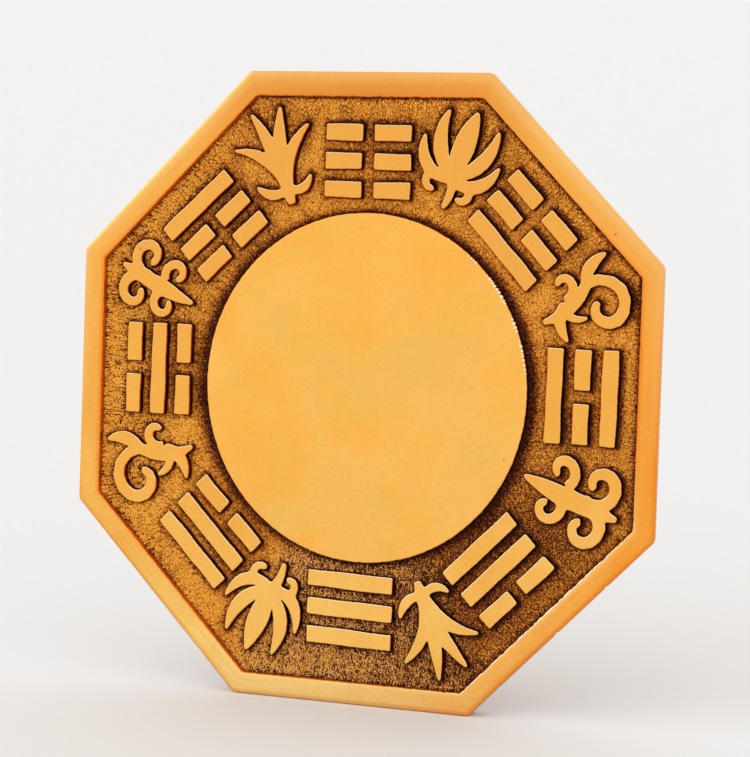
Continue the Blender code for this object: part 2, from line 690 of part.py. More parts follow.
def hanging_ring(parts, pivot):
    """A D-shaped wire ring whose straight bar lies on its pivot."""
    bottom_radius = ring_width / 2 - ring_wire_radius / 4
    corner = ring_bar_corner_radius
    radii = (corner, corner, bottom_radius, bottom_radius)
    curve = bpy.data.curves.new("hanging_ring", "CURVE")
    curve.dimensions = "3D"
    curve.bevel_depth = ring_wire_radius
    curve.bevel_resolution = 2
    half = ring_width / 2
    corners = ((half, 0), (-half, 0), (-half, -ring_drop), (half, -ring_drop))
    points = rounded_outline(corners, radii, 2 * corner_steps)
    spline = curve.splines.new("POLY")
    spline.points.add(len(points) - 1)
    for point, (x, y) in zip(spline.points, points):
        point.co = (x, y, 0, 1)
    spline.use_cyclic_u = True
    ring = new_object("hanging_ring", curve, parts, pivot)
    material = new_material("hanging_ring_brass", hardware_brass, 0.3)
    curve.materials.append(material)
    for part_of_curve in curve.splines:
        part_of_curve.use_smooth = True
    return ring


def stand_on_floor(frame, parts):
    """Lean the plaque back on its lower edge and centre the whole on the origin, standing at z = 0."""
    bpy.context.view_layer.update()
    graph = bpy.context.evaluated_depsgraph_get()
    points = []
    for part in parts.objects:
        solid = part.evaluated_get(graph)
        mesh = solid.to_mesh()
        points += [solid.matrix_world @ vertex.co for vertex in mesh.vertices]
        solid.to_mesh_clear()
    for axis in range(3):
        low = min(point[axis] for point in points)
        high = max(point[axis] for point in points)
        frame.location[axis] -= low if axis == 2 else (low + high) / 2


def build():
    """Model the whole bagua mirror."""
    for old in list(bpy.data.objects):
        bpy.data.objects.remove(old)
    parts = new_collection("bagua_mirror")
    cutters = new_collection("cutters")

    frame = bpy.data.objects.new("plaque_frame", None)
    bpy.context.scene.collection.objects.link(frame)
    frame.rotation_euler = (math.pi / 2 - lean, 0, 0)

    plaque_casting(parts, cutters, frame)
    mirror_disc(parts, frame)
    for name, direction, whole_rows, turn, outward_share, right_share in trigram_shares:
        trigram(name, direction, whole_rows, turn, outward_share, right_share, parts, frame)

    designs = [scroll_strokes(design) for design in (lotus_shares, wave_shares, cloud_shares, orchid_shares)]
    designs += [mirrored(design) for design in designs]
    for (name, *places), strokes_share in zip(scroll_shares, designs):
        corner_scroll("corner_scroll_" + name, strokes_share, places, parts, cutters, frame)

    hinge_leaf(parts, cutters, frame)
    hinge_pin(parts, frame)
    hanger_strap(parts, cutters, frame)
    for name, x, y in screw_places():
        plate = leaf_thickness if name.startswith("leaf") else strap_thickness
        back_screw(name, x, y, plate, parts, cutters, frame)

    pin_depth = plaque_thickness + hardware_gap + knuckle_radius
    strut_pivot = bpy.data.objects.new("strut_pivot", None)
    bpy.context.scene.collection.objects.link(strut_pivot)
    strut_pivot.parent = frame
    strut_pivot.location = (0, hinge_height - half_across_flats, -pin_depth)
    strut_pivot.rotation_euler = (strut_spread, 0, 0)
    strut_leg(parts, cutters, strut_pivot)

    ring_depth = plaque_thickness + hardware_gap + strap_barrel_radius
    ring_pivot = bpy.data.objects.new("ring_pivot", None)
    bpy.context.scene.collection.objects.link(ring_pivot)
    ring_pivot.parent = frame
    ring_pivot.location = (0, ring_height - half_across_flats, -ring_depth)
    ring_pivot.rotation_euler = (lean, 0, 0)
    hanging_ring(parts, ring_pivot)

    stand_on_floor(frame, parts)


build()
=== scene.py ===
# Looks of a bagua mirror: a brass plaque with a polished disc, trigrams and corner scrolls over a crackled
# ground. Lengths are in metres.
import json
import math

import bmesh
import bpy
import numpy as np
from mathutils import Matrix, Vector
from mathutils.geometry import tessellate_polygon


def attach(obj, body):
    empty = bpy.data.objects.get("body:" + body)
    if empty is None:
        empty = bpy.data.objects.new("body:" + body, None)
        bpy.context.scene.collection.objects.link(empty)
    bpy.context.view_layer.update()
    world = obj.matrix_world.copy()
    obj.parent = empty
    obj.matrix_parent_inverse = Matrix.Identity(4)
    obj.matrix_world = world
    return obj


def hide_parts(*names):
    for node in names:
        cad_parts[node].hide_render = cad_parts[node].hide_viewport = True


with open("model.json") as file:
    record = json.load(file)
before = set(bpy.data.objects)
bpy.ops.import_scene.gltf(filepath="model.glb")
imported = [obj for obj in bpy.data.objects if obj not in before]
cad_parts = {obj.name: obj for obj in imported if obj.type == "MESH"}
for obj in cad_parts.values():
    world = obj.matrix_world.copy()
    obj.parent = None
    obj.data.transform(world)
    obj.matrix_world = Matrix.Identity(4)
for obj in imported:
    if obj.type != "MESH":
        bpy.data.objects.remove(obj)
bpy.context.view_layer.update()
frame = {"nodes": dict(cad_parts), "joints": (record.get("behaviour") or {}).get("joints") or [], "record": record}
print("frame loaded:", len(frame["nodes"]), "nodes")

eighth = math.pi / 4
towardsLight = np.array((-0.707, 0.707))  # in the plane of the face
random = np.random.default_rng(8)


# The plaque's own axes: x to its right, y up its face and z out of it, with z = 0 at the polished level
def nodePoints(node):
    # A CAD node's corners, a row each
    mesh = frame["nodes"][node].data
    points = np.empty(len(mesh.vertices) * 3)
    mesh.vertices.foreach_get("co", points)
    return points.reshape(-1, 3)


def ends(points):
    # Lowest and highest corner
    return points.min(axis=0), points.max(axis=0)


mounts = {mount["name"]: mount for mount in frame["record"]["mounts"]}
outOfFace = -np.array(mounts["back_face"]["axis"], float)
outOfFace /= np.linalg.norm(outOfFace)
toRight = np.array((1.0, 0.0, 0.0))
plaqueAxes = np.stack((toRight, np.cross(outOfFace, toRight), outOfFace))
castingLow, castingHigh = ends(nodePoints("plaque_casting") @ plaqueAxes.T)
discLow, discHigh = ends(nodePoints("mirror_disc") @ plaqueAxes.T)
plaqueMiddle = (castingLow + castingHigh) / 2
plaqueMiddle[2] = discHigh[2]
halfAcross = (castingHigh[1] - castingLow[1]) / 2


def toPlaque(points):
    # A p - m, from the frame's axes to the plaque's
    return points @ plaqueAxes.T - plaqueMiddle


def toFrame(points):
    # The other way round, the inverse of A times p + m
    return (points + plaqueMiddle) @ plaqueAxes


# Shared by several pieces
def clamp(value):
    # min(max(v, 0), 1)
    return np.clip(value, 0, 1)


def smoothStep(value):
    # 3 t^2 - 2 t^3
    value = clamp(value)
    return value * value * (3 - 2 * value)


def unit(angle):
    # (cos a, sin a)
    return np.stack((np.cos(angle), np.sin(angle)), axis=-1)


def bell(value, reach):
    # exp(-(v / w)^2)
    return np.exp(-((value / reach) ** 2))


def wave(along, length, waves, seed):
    # A wander along a closed line: the sum of sin(2 pi n s / length + phase), over the root of its terms
    dice = np.random.default_rng(seed)
    terms = [np.sin(2 * math.pi * n * along / length + dice.uniform(0, 2 * math.pi)) for n in waves]
    return sum(terms) / math.sqrt(len(waves))


def smoothedLoop(loop, spacing, passes):
    # The loop at even steps, then each point averaged with its neighbours: p / 2 + (before + after) / 4
    closed = np.vstack((loop, loop[:1]))
    along = np.concatenate(([0], np.cumsum(np.hypot(*np.diff(closed, axis=0).T))))
    count = max(12, round(along[-1] / spacing))
    steps = np.arange(count) * along[-1] / count
    points = np.stack([np.interp(steps, along, closed[:, k]) for k in range(2)], axis=1)
    for _ in range(passes):
        points = points / 2 + (np.roll(points, 1, axis=0) + np.roll(points, -1, axis=0)) / 4
    return points


def inwardWay(points):
    # Unit vectors to the left of a loop's direction, the side that its solid lies on
    ahead = np.roll(points, -1, axis=0) - np.roll(points, 1, axis=0)
    left = np.stack((-ahead[:, 1], ahead[:, 0]), axis=1)
    return left / np.linalg.norm(left, axis=1, keepdims=True)


def gridFaces(rows, columns, around=True, closed=False):
    # Quads of a grid of points. Its columns close into a ring if around is set, and its rows if closed is.
    row = np.arange(rows if closed else rows - 1)[:, None]
    column = np.arange(columns if around else columns - 1)[None, :]
    here, above = row * columns, (row + 1) % rows * columns
    ahead = (column + 1) % columns
    quads = np.stack((here + column, here + ahead, above + ahead, above + column), axis=-1)
    return quads.reshape(-1, 4)


def newObject(name, data):
    made = bpy.data.objects.new(name, data)
    bpy.context.scene.collection.objects.link(made)
    return made


def newPiece(name, node, points, groups, materials, body="plaque", flat=(), places=(), values=None):
    # A piece in a CAD node's place, from rows of points and groups of faces, a face a row. flat numbers the
    # groups shaded flat, places gives each group its material, and values become attributes of the points.
    mesh = bpy.data.meshes.new(name)
    mesh.vertices.add(len(points))
    mesh.vertices.foreach_set("co", np.asarray(points, np.float32).ravel())
    corners = np.concatenate([group.ravel() for group in groups]).astype(np.int32)
    sizes = np.concatenate([np.full(len(group), group.shape[1]) for group in groups])
    starts = np.concatenate(([0], np.cumsum(sizes)[:-1])).astype(np.int32)
    smooth = np.concatenate([np.full(len(group), i not in flat) for i, group in enumerate(groups)])
    mesh.loops.add(len(corners))
    mesh.loops.foreach_set("vertex_index", corners)
    mesh.polygons.add(len(sizes))
    mesh.polygons.foreach_set("loop_start", starts)
    mesh.update(calc_edges=True)
    mesh.polygons.foreach_set("use_smooth", smooth)
    if places:
        numbers = np.concatenate([np.full(len(group), place) for place, group in zip(places, groups)])
        mesh.polygons.foreach_set("material_index", numbers.astype(np.int32))
    for label, numbers in (values or {}).items():
        layer = mesh.attributes.new(label, "FLOAT", "POINT")
        layer.data.foreach_set("value", np.asarray(numbers, np.float32).ravel())
    for material in materials:
        mesh.materials.append(material)
    mesh.update()
    piece = newObject(name, mesh)
    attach(piece, body)
    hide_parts(node)


# The casting: an octagonal profile carried round the plaque
casting = {
    "thickness": plaqueMiddle[2] - castingLow[2],
    "rimWidth": 0.0048,
    "reliefDepth": 0.0016,
    "outerCorner": 0.0020,
    "innerCorner": 0.0014,
    "wallDraft": 0.00010,  # how much further in the rim's wall stands at its foot
    "trim": (0.00035, 0, 0.00008, 0, 0, 0.00012, 0, 0.00030),  # filed off each side, from the right round
    "innerTrim": (0, 0, 0.00042, 0, 0, 0, -0.00033, 0),  # and how far each inner side stands in
    "innerEdge": 0.00028,  # radius of the rim's inner edge
    "edgeWear": 0.00003,  # how far that edge wanders
    "wornEdge": 0.00005,  # and how much further where it is most worn
    "wornPlaces": ((0.8125, 0.06, 1.0), (0.1875, 0.05, 0.8)),  # place round the plaque, reach and share
    "wearWaves": (61, 97, 143, 211, 283, 331),
    "wearReach": 0.0002,
    "wearDepth": 0.0006,
    "shoulderWidth": 0.0011,  # the rim's top rounds off over this width
    "shoulderDepth": 0.0004,
    "shoulderPower": 2.2,
    "nicks": ((0.845, 0.00018), (0.8125, 0.00020), (0.93, 0.0001)),  # place round the plaque and depth
    "nickReach": 0.0011,
    "nickFrom": 0.85,  # share of the rim's width where a nick begins
    "sideWall": 0.0012,  # depth at which the side starts to slope in
    "sideCrease": 0.0001,  # keeps that corner crisp
    "sideSlope": 20,
    "backEdge": 0.0003,
    "hiddenFloor": 0.00245,  # under the ground and the disc
    "sideSteps": 180,
    "cornerSteps": 8,
    "wallRows": 8, "edgeRows": 6, "flatRows": 6, "shoulderRows": 10,
}
innerAcross = halfAcross - casting["rimWidth"]


def roundedOctagon(apothems, cornerRadius):
    # Eight arcs joined by straight sides, as rows x points x 2. An arc's centre c has n.c = apothem - radius
    # for both normals n beside it.
    turn = np.arange(8) * eighth
    here = apothems - cornerRadius[:, None]
    ahead = np.roll(here, -1, axis=1)
    x = (here * np.sin(turn + eighth) - ahead * np.sin(turn)) / math.sin(eighth)
    y = (ahead * np.cos(turn) - here * np.cos(turn + eighth)) / math.sin(eighth)
    sweep = turn[:, None] + np.linspace(0, eighth, casting["cornerSteps"] + 1)[None, :]
    arcs = unit(sweep)[None] * cornerRadius[:, None, None, None]
    arcs = arcs + np.stack((x, y), axis=-1)[:, :, None]
    share = (np.arange(1, casting["sideSteps"]) / casting["sideSteps"])[None, None, :, None]
    sides = arcs[:, :, -1:] * (1 - share) + np.roll(arcs[:, :, :1], -1, axis=1) * share
    return np.concatenate((arcs, sides), axis=2).reshape(len(apothems), -1, 2)


def castingProfile():
    # Rows of apothem and height, their corner radii and shares of the rim's width: up the inner wall, over
    # the rim's edge and top, down the shoulder, z = -depth (1 - (1 - t^p)^(1/p)), the side and the slope
    outer, inner, edge = halfAcross, innerAcross, casting["innerEdge"]
    up = np.linspace(0, 1, casting["wallRows"])[:, None]
    wallHeight = -casting["hiddenFloor"] * (1 - up) - edge * up
    wall = np.hstack((inner - casting["wallDraft"] * (1 - up), wallHeight))
    turn = np.linspace(0, math.pi / 2, casting["edgeRows"] + 1)[1:, None]
    rounded = np.hstack((inner + edge * (1 - np.cos(turn)), edge * (np.sin(turn) - 1)))
    shoulder = outer - casting["shoulderWidth"]
    flat = np.linspace(inner + edge, shoulder, casting["flatRows"] + 1)[1:, None]
    top = np.hstack((flat, np.zeros_like(flat)))
    turn = np.linspace(0, math.pi / 2, casting["shoulderRows"] + 1)[1:, None]
    power = 2 / casting["shoulderPower"]
    out = shoulder + casting["shoulderWidth"] * np.sin(turn) ** power
    fall = np.hstack((out, -casting["shoulderDepth"] * (1 - np.cos(turn) ** power)))
    steep = math.tan(math.radians(casting["sideSlope"]))
    side, back = -casting["sideWall"], -casting["thickness"]
    narrow = outer - (side - back) * steep
    crease, backEdge = casting["sideCrease"], casting["backEdge"]
    rear = np.array((
        (outer, side),
        (outer - crease * steep, side - crease),
        (narrow + backEdge * steep, back + backEdge),
        (narrow - backEdge * 0.2, back + backEdge * 0.3),
        (narrow - backEdge, back),
        (narrow - backEdge * 4, back),
        (outer / 2, back),
    ))
    rows = np.vstack((wall, rounded, top, fall, rear))
    share = clamp((rows[:, 0] - inner) / casting["rimWidth"])
    corner = casting["innerCorner"] * (1 - share) + casting["outerCorner"] * share
    return rows, corner, share


def paintedRimReflections(side, share):
    # Shares of three painted reflections: deeper orange to the right, and the outer part underneath and the inner
    # one at the top, paler up the outer part and low
    outer = smoothStep(share)
    under = clamp(0.15 - 0.95 * np.sin(side) + 0.25 * np.cos(side))
    over = clamp(np.sin(side) * 4 - 3)
    pale = 0.30 * smoothStep((share - 0.4) / 0.45) * clamp(np.sin(side) + 0.2) * (1 - 0.5 * over)
    return {
        "tint": smoothStep((share - 0.76) / 0.3) * under + 0.62 * (1 - 0.6 * outer) * over,
        "deep": 0.38 * clamp(np.cos(side + math.pi / 6)) ** 2 * (1 + 0.6 * outer),
        "pale": pale + 0.35 * clamp(-np.sin(side + 0.1)) ** 10,
    }


def paintedRimEdges(side, topRow, rimRows):
    # Shares of the edge tone, and that tone, -1 orange to 1 white, a painted highlight and reflection: whitest
    # where the inner edge faces away from the light, and less so to the right. The outer edge gets a painted
    # highlight where it faces the light.
    edge = np.zeros_like(side)
    edge[casting["wallRows"] - 1:topRow - 1] = 1
    edge[topRow - 1] = 0.85 * np.cos(side[topRow - 1]) ** 4
    edge[topRow] = 0.22 * np.cos(side[topRow]) ** 4
    facing = -(unit(side) @ towardsLight)
    shine = 1.1 * clamp(facing) ** 6 - 0.1 + 0.25 * np.clip(facing, -1, 0)
    shine -= 0.4 * clamp(np.cos(side)) ** 6
    # a painted white highlight on the outer edge where it faces the light
    edge[rimRows - 2:rimRows] = clamp(-facing)[rimRows - 2:rimRows] ** 4
    shine[rimRows - 3:rimRows] = 0.9
    return {"edge": edge, "shine": shine}


def makeCasting(materials):
    # An octagon for each row, grown by 1 + shift / apothem: wear moves the inner edge, nicks the outer one
    rows, corner, share = castingProfile()
    apothem, level, share = rows[:, :1], rows[:, 1:], share[:, None]
    outer = smoothStep(share)
    apothems = apothem - outer * np.array(casting["trim"]) - (1 - outer) * np.array(casting["innerTrim"])
    outline = roundedOctagon(apothems, corner)
    count = outline.shape[1]
    around = np.arange(count) / count
    worn = sum(part * bell(around - place, reach) for place, reach, part in casting["wornPlaces"])
    bite = (casting["edgeWear"] + casting["wornEdge"] * worn) * wave(around, 1, casting["wearWaves"], 3)
    nearEdge = bell(apothem - innerAcross, casting["wearReach"]) * (level > -casting["wearDepth"])
    nick = sum(depth * bell(around - place, casting["nickReach"]) for place, depth in casting["nicks"])
    nearSide = clamp((share - casting["nickFrom"]) / (1 - casting["nickFrom"]))
    nearSide = nearSide * (level > -casting["sideWall"] - 2 * casting["sideCrease"])
    height = level - nearEdge * np.abs(bite) - 0.5 * nearSide * nick * (level > -casting["shoulderDepth"])
    grow = 1 + (nearEdge * bite - nearSide * nick) / apothem
    points = np.dstack((outline * grow[:, :, None], height))
    topRow = casting["wallRows"] + casting["edgeRows"]
    rimRows = topRow + casting["flatRows"] + casting["shoulderRows"]
    depth = clamp(-height / casting["reliefDepth"])
    depth[topRow:] = 0
    side = np.arctan2(points[:, :, 1], points[:, :, 0])
    halfSide = halfAcross * math.tan(eighth / 2)
    values = {"depth": depth, **paintedRimReflections(side, share), **paintedRimEdges(side, topRow, rimRows),
              "across": np.broadcast_to(share, depth.shape),
              "along": np.broadcast_to(around * 16 * halfSide, depth.shape)}
    quads = gridFaces(len(rows), count)[:, ::-1]
    first = np.arange(count)[None, :]
    last = first[:, ::-1] + count * (len(rows) - 1)
    groups = [quads[:count * rimRows], quads[count * rimRows:], first, last]
    points = toFrame(points.reshape(-1, 3))
    newPiece("plaque_casting_body", "plaque_casting", points, groups, materials,
             flat=(2, 3), places=(0, 1, 1, 1), values=values)


# The disc: rings round its centre
disc = {
    "centre": (discLow + discHigh)[:2] / 2 - plaqueMiddle[:2] - (0, 0.00012),
    "radius": (discHigh[0] - discLow[0]) / 2,
    "depth": 0.0022,
    "sideRings": 4,
    "edge": 0.00022,
    "edgeRings": 6,
    "insetRings": (0.00032, 0.00042, 0.00055, 0.0008),  # rings close inside the edge
    "faceRings": (0.95, 0.85, 0.7, 0.5, 0.25, 0.08),  # and over the face, as shares of the radius
    "edgeWander": 0.00003,
    "wanderReach": 0.00025,
    "burrHeight": 0.00016,  # a beaded burr on the right of the edge
    "burrReach": 0.00015,
    "burrBeads": 290,
    "burrMiddle": 30.5,  # degrees
    "burrHalf": 27.5,
    "steps": 1440,
}


def makeDisc(material):
    # Rings c + r (cos a, sin a) up the side, over the edge, which wanders and has a burr on the right, and
    # in to the middle
    radius, edge = disc["radius"], disc["edge"]
    turn = np.linspace(0, math.pi / 2, disc["edgeRings"])
    rings = np.concatenate((
        [radius / 2], np.full(disc["sideRings"], radius), radius - edge * (1 - np.cos(turn)),
        radius - np.array(disc["insetRings"]), radius * np.array(disc["faceRings"]),
    ))
    firstEdge = 1 + disc["sideRings"]
    heights = np.zeros(len(rings))
    heights[0] = -disc["depth"]
    heights[1:firstEdge] = np.linspace(-disc["depth"], -edge, firstEdge)[:-1]
    heights[firstEdge:firstEdge + len(turn)] = edge * (np.sin(turn) - 1)

    count, full = disc["steps"], 2 * math.pi
    angle = np.arange(count) / count * full
    wander = wave(angle, full, (23, 57, 88, 131), 5) * disc["edgeWander"]
    gap = (angle - math.radians(disc["burrMiddle"]) + math.pi) % full - math.pi
    beads = np.sin(disc["burrBeads"] * angle + 2 * wave(angle, full, (31, 57, 83), 7)) + 0.2
    burr = clamp(1.2 - np.abs(gap) / math.radians(disc["burrHalf"])) * disc["burrHeight"] * clamp(beads)
    burr = burr * np.clip(wave(angle, full, (17, 29, 43), 6) + 0.8, 0, 1.4)
    near = bell(rings - radius, disc["wanderReach"]) * (heights > -0.0003)
    lip = bell(rings - radius + edge * 0.7, disc["burrReach"]) * (heights > -0.0001)
    ringRadius = rings[:, None] + near[:, None] * (wander + 1.3 * burr)
    height = heights[:, None] + lip[:, None] * burr
    points = np.dstack((disc["centre"] + ringRadius[:, :, None] * unit(angle), height))

    # painted highlight on the edge rows, and painted white glints on the burr's beads
    beaded = clamp(burr / disc["burrHeight"])
    bright = np.zeros_like(height)
    bright[firstEdge:firstEdge + 5] = 1
    bright[firstEdge + 3:firstEdge + 8] = np.maximum(bright[firstEdge + 3:firstEdge + 8], beaded)
    values = {"depth": clamp(-height / casting["reliefDepth"]), "edge": bright,
              "shine": np.broadcast_to(0.15 + beaded * 2, height.shape)}
    first = np.arange(count)[None, ::-1]
    last = first[:, ::-1] + count * (len(rings) - 1)
    newPiece("polished_disc", "mirror_disc", toFrame(points.reshape(-1, 3)),
             [gridFaces(len(rings), count), first, last], [material], flat=(1,), values=values)


# Relief: the CAD outline of a bar or scroll, smoothed, with a profile carried round it
relief = {
    "spacing": 0.00016,  # between the points of an outline
    "barPasses": 2,  # smoothing passes, which round an outline's corners
    "scrollPasses": 14,
    "smallestLoop": 0.0012,  # a shorter hole is filled
    "drift": 0.00010,  # hand-cut shift of the outlines, and the length over which it changes
    "driftLength": 0.013,
    "wander": 0.00002,
    "wanderLengths": (0.0031, 0.0017, 0.0011),
    "edge": 0.00016,  # width of the broken edge
    "edgeRows": 5,
    # Painted highlight and reflection on the broken edge, -1 orange to 1 white: at rest, facing the middle and
    # facing up
    "paintedEdgeWeights": (0.16, -0.80, 1.55),
    "flare": 0.00010,  # how much wider a piece is at its foot
    "foot": 0.00185,  # depth of the foot, under the ground
    "wall": ((-1, -1), (-0.75, -0.8), (-0.4, -0.5), (-0.1, -0.25)),  # shares of the flare and foot
}


def frontLoops(node):
    # Closed loops of x and y round a CAD node's front: the edges of its triangles that face the front and
    # that no other one shares, followed end to end
    mesh = frame["nodes"][node].data
    corners = np.empty(len(mesh.loops), np.int32)
    mesh.loops.foreach_get("vertex_index", corners)
    places, merged = np.unique(toPlaque(nodePoints(node)), axis=0, return_inverse=True)
    triangles = merged.reshape(-1)[corners].reshape(-1, 3)
    a, b, c = (places[triangles[:, k]] for k in range(3))
    normal = np.cross(b - a, c - a)
    front = triangles[normal[:, 2] > 0.3 * np.linalg.norm(normal, axis=1)]
    starts = front.ravel()
    stops = np.roll(front, -1, axis=1).ravel()
    shared = np.isin(starts * len(places) + stops, stops * len(places) + starts)
    following = dict(zip(starts[~shared].tolist(), stops[~shared].tolist()))
    loops = []
    while following:
        here = next(iter(following))
        loop = []
        while here in following:
            loop.append(here)
            here = following.pop(here)
        loops.append(places[loop, :2])
    return loops


def handCut(points, seed):
    # p + drift + n wander: the drift is slow, in sines of x and y over the plaque, and the wander quick
    scale = 2 * math.pi / relief["driftLength"]
    x, y = points[:, 0] * scale, points[:, 1] * scale
    drift = np.stack((np.sin(0.8 * x + 1.3 * y + 1) + np.sin(1.7 * x - 0.6 * y),
                      np.sin(1.1 * y - 0.9 * x + 2) + np.sin(0.5 * x + 1.6 * y + 4)), axis=1)
    along = np.arange(len(points)) * relief["spacing"]
    length = len(points) * relief["spacing"]
    waves = [max(1, round(length / step)) for step in relief["wanderLengths"]]
    wander = wave(along, length, waves, seed)[:, None] * relief["wander"]
    return points + drift * relief["drift"] / 2 + inwardWay(points) * wander


def capFaces(loops, firsts, up):
    # Triangles that fill flat loops with holes, whose points are numbered from firsts. One whose area,
    # (b - a) x (c - a), has the wrong sign is turned round.
    numbers = np.concatenate([first + np.arange(len(loop)) for loop, first in zip(loops, firsts)])
    flat = np.vstack(loops)
    threes = np.array(tessellate_polygon([[Vector((x, y, 0)) for x, y in loop] for loop in loops]))
    a, b, c = (flat[threes[:, k]] for k in range(3))
    area = (b[:, 0] - a[:, 0]) * (c[:, 1] - a[:, 1]) - (b[:, 1] - a[:, 1]) * (c[:, 0] - a[:, 0])
    wrong = (area > 0) != up
    threes[wrong] = threes[wrong][:, ::-1]
    return numbers[threes]


def paintedEdgeLevel(points, outward):
    # rest + middle m + up s (0.35 + 0.65 m), a painted highlight and reflection: m is how squarely an edge faces
    # the plaque's middle, and s, the share of light from above, is full from 45 degrees on. The second result is
    # m.
    rest, middle, up = relief["paintedEdgeWeights"]
    toMiddle = -points / np.linalg.norm(points, axis=1, keepdims=True)
    facing = clamp((outward * toMiddle).sum(axis=1))
    lit = clamp(1.4 * outward[:, 1])
    return rest + middle * facing + up * lit * (0.35 + 0.65 * facing), facing


def makeRelief(node, seed, material):
    # Rows p + inset n round each loop, n the unit vector inward: up the wall from its flared foot and over
    # the broken edge, with a flat top and foot. The result is every other point of the loops.
    passes = relief["barPasses" if node.startswith("trigram_") else "scrollPasses"]
    loops = [smoothedLoop(loop, relief["spacing"], passes) for loop in frontLoops(node)]
    loops = [loop for loop in loops if len(loop) * relief["spacing"] > relief["smallestLoop"]]
    loops = [handCut(loop, seed + i) for i, loop in enumerate(loops)]
    edge = relief["edge"]
    wallOut, wallUp = np.array(relief["wall"]).T
    turn = np.linspace(0, math.pi / 2, relief["edgeRows"])
    inset = np.concatenate((relief["flare"] * wallOut, edge * (1 - np.cos(turn))))
    height = np.concatenate((relief["foot"] * wallUp, edge * 0.7 * (np.sin(turn) - 1)))
    bright = np.concatenate((np.zeros(len(wallOut)), np.ones(len(turn) - 1), (0,)))
    rows = len(inset)
    counts = np.array([len(loop) for loop in loops])
    firsts = (np.cumsum(counts) - counts) * rows
    inwards = [inwardWay(loop) for loop in loops]
    rings = [loop + inward * inset[:, None, None] for loop, inward in zip(loops, inwards)]
    heights = [np.broadcast_to(height[:, None], ring.shape[:2]) for ring in rings]
    points = np.vstack([np.dstack(pair).reshape(-1, 3) for pair in zip(rings, heights)])
    tones = [paintedEdgeLevel(loop, -inward) for loop, inward in zip(loops, inwards)]
    values = {
        "depth": clamp(-points[:, 2] / casting["reliefDepth"]),
        "edge": np.concatenate([np.repeat(bright, count) for count in counts]),
        "shine": np.concatenate([np.tile(tone, rows) for tone, facing in tones]),
        # how far a wall faces away from the middle, which darkens it with painted shade
        "outward": np.concatenate([np.tile(1 - facing, rows) for tone, facing in tones]),
    }
    groups = [
        np.vstack([gridFaces(rows, count) + first for count, first in zip(counts, firsts)]),
        capFaces([ring[-1] for ring in rings], firsts + counts * (rows - 1), True),
        capFaces([ring[0] for ring in rings], firsts, False),
    ]
    newPiece(node + "_relief", node, toFrame(points), groups, [material], flat=(1, 2),
             values=values)
    return np.vstack(loops)[::2]


# The ground: eight sectors between the disc and the rim, a fine grid that carries the crackle
ground = {
    "columns": 300,
    "rows": 150,
    "tuck": 0.0006,  # under the rim and the disc
    "underside": 0.0023,
    "footRise": 0.00040,  # its climb where it meets a wall
    "footWidth": 0.00028,
    "cellSize": 0.00098,
    "fineCellSize": 0.00056,
    "crackWidth": 0.00011,
    "cellHeight": 0.00004,
    "grainHeight": 0.000006,
    "bend": 0.00022,  # how far the cells are bent out of true
    "bendSize": 0.0013,
    "stretch": 0.62,  # cells at a wall are drawn out 1 / (1 - stretch) times
    "stretchReach": 0.0022,
    "patchSize": 0.009,  # of coarse and of fine cells
    # Patina and painted shade at the feet of walls: strength, then reach to the right, up, left and down
    "discShade": (0.95, (0.0019, 0.00080, 0.0032, 0.0012)),
    "rimShade": (0.8, (0.00030, 0.0005, 0.00125, 0.00042)),
    "leftRimShare": 0.55,  # how much of it the left rim has
    "innerShade": (0.13, 0.0045),  # a faint one round the disc, less to its left and right
    # Round relief: strength, least and mean reach, its gain away from the middle and to the left
    "reliefShade": (0.95, 0.00020, 0.00030, 0.00041, 0.00070),
    "broadShade": (0.27, 0.0013),  # a wider, fainter one
    "shadeSearch": 0.005,  # as far as relief throws any
    "lowerRightShade": 0.58,
    "bottomShade": 0.17,
    "rightShade": 0.08,  # by the disc, and as much lighter by the rim
}


def valueNoise(points, size, seed):
    # Random numbers on a square lattice, blended between its corners by the smooth step of each share
    lattice = np.random.default_rng(seed).random((128, 128))
    scaled = points / size
    corner = np.floor(scaled).astype(int)
    across, up = smoothStep(scaled - corner).T
    total = np.zeros(len(points))
    for dx in range(2):
        for dy in range(2):
            weight = (across if dx else 1 - across) * (up if dy else 1 - up)
            total += weight * lattice[(corner[:, 0] + dx) % 128, (corner[:, 1] + dy) % 128]
    return total


def crackDistance(points, size, seed):
    # One seed is thrown into each square of a grid. (second nearest - nearest) / 2 is about how far a point
    # lies from the crack between the two.
    seeds = np.random.default_rng(seed).random((256, 256, 2))
    scaled = points / size
    square = np.floor(scaled).astype(int)
    nearest = np.full(len(points), 9.0)
    second = np.full(len(points), 9.0)
    for dx in range(-2, 3):
        for dy in range(-2, 3):
            other = square + (dx, dy)
            gap = scaled - other - seeds[other[:, 0] % 256, other[:, 1] % 256]
            distance = np.hypot(gap[:, 0], gap[:, 1])
            second = np.minimum(second, np.maximum(nearest, distance))
            nearest = np.minimum(nearest, distance)
    return (second - nearest) * size / 2


def rimDistance(points):
    # a - p.n for the nearest of the eight sides, and the unit vector away from it
    normals = unit(np.arange(8) * eighth)
    toSides = innerAcross - np.array(casting["innerTrim"]) - points @ normals.T
    return toSides.min(axis=1), -normals[toSides.argmin(axis=1)]


def discDistance(points):
    # |p - c| - r, and the unit vector away from the disc
    away = points - disc["centre"]
    reach = np.hypot(away[:, 0], away[:, 1])
    return reach - disc["radius"], away / reach[:, None]


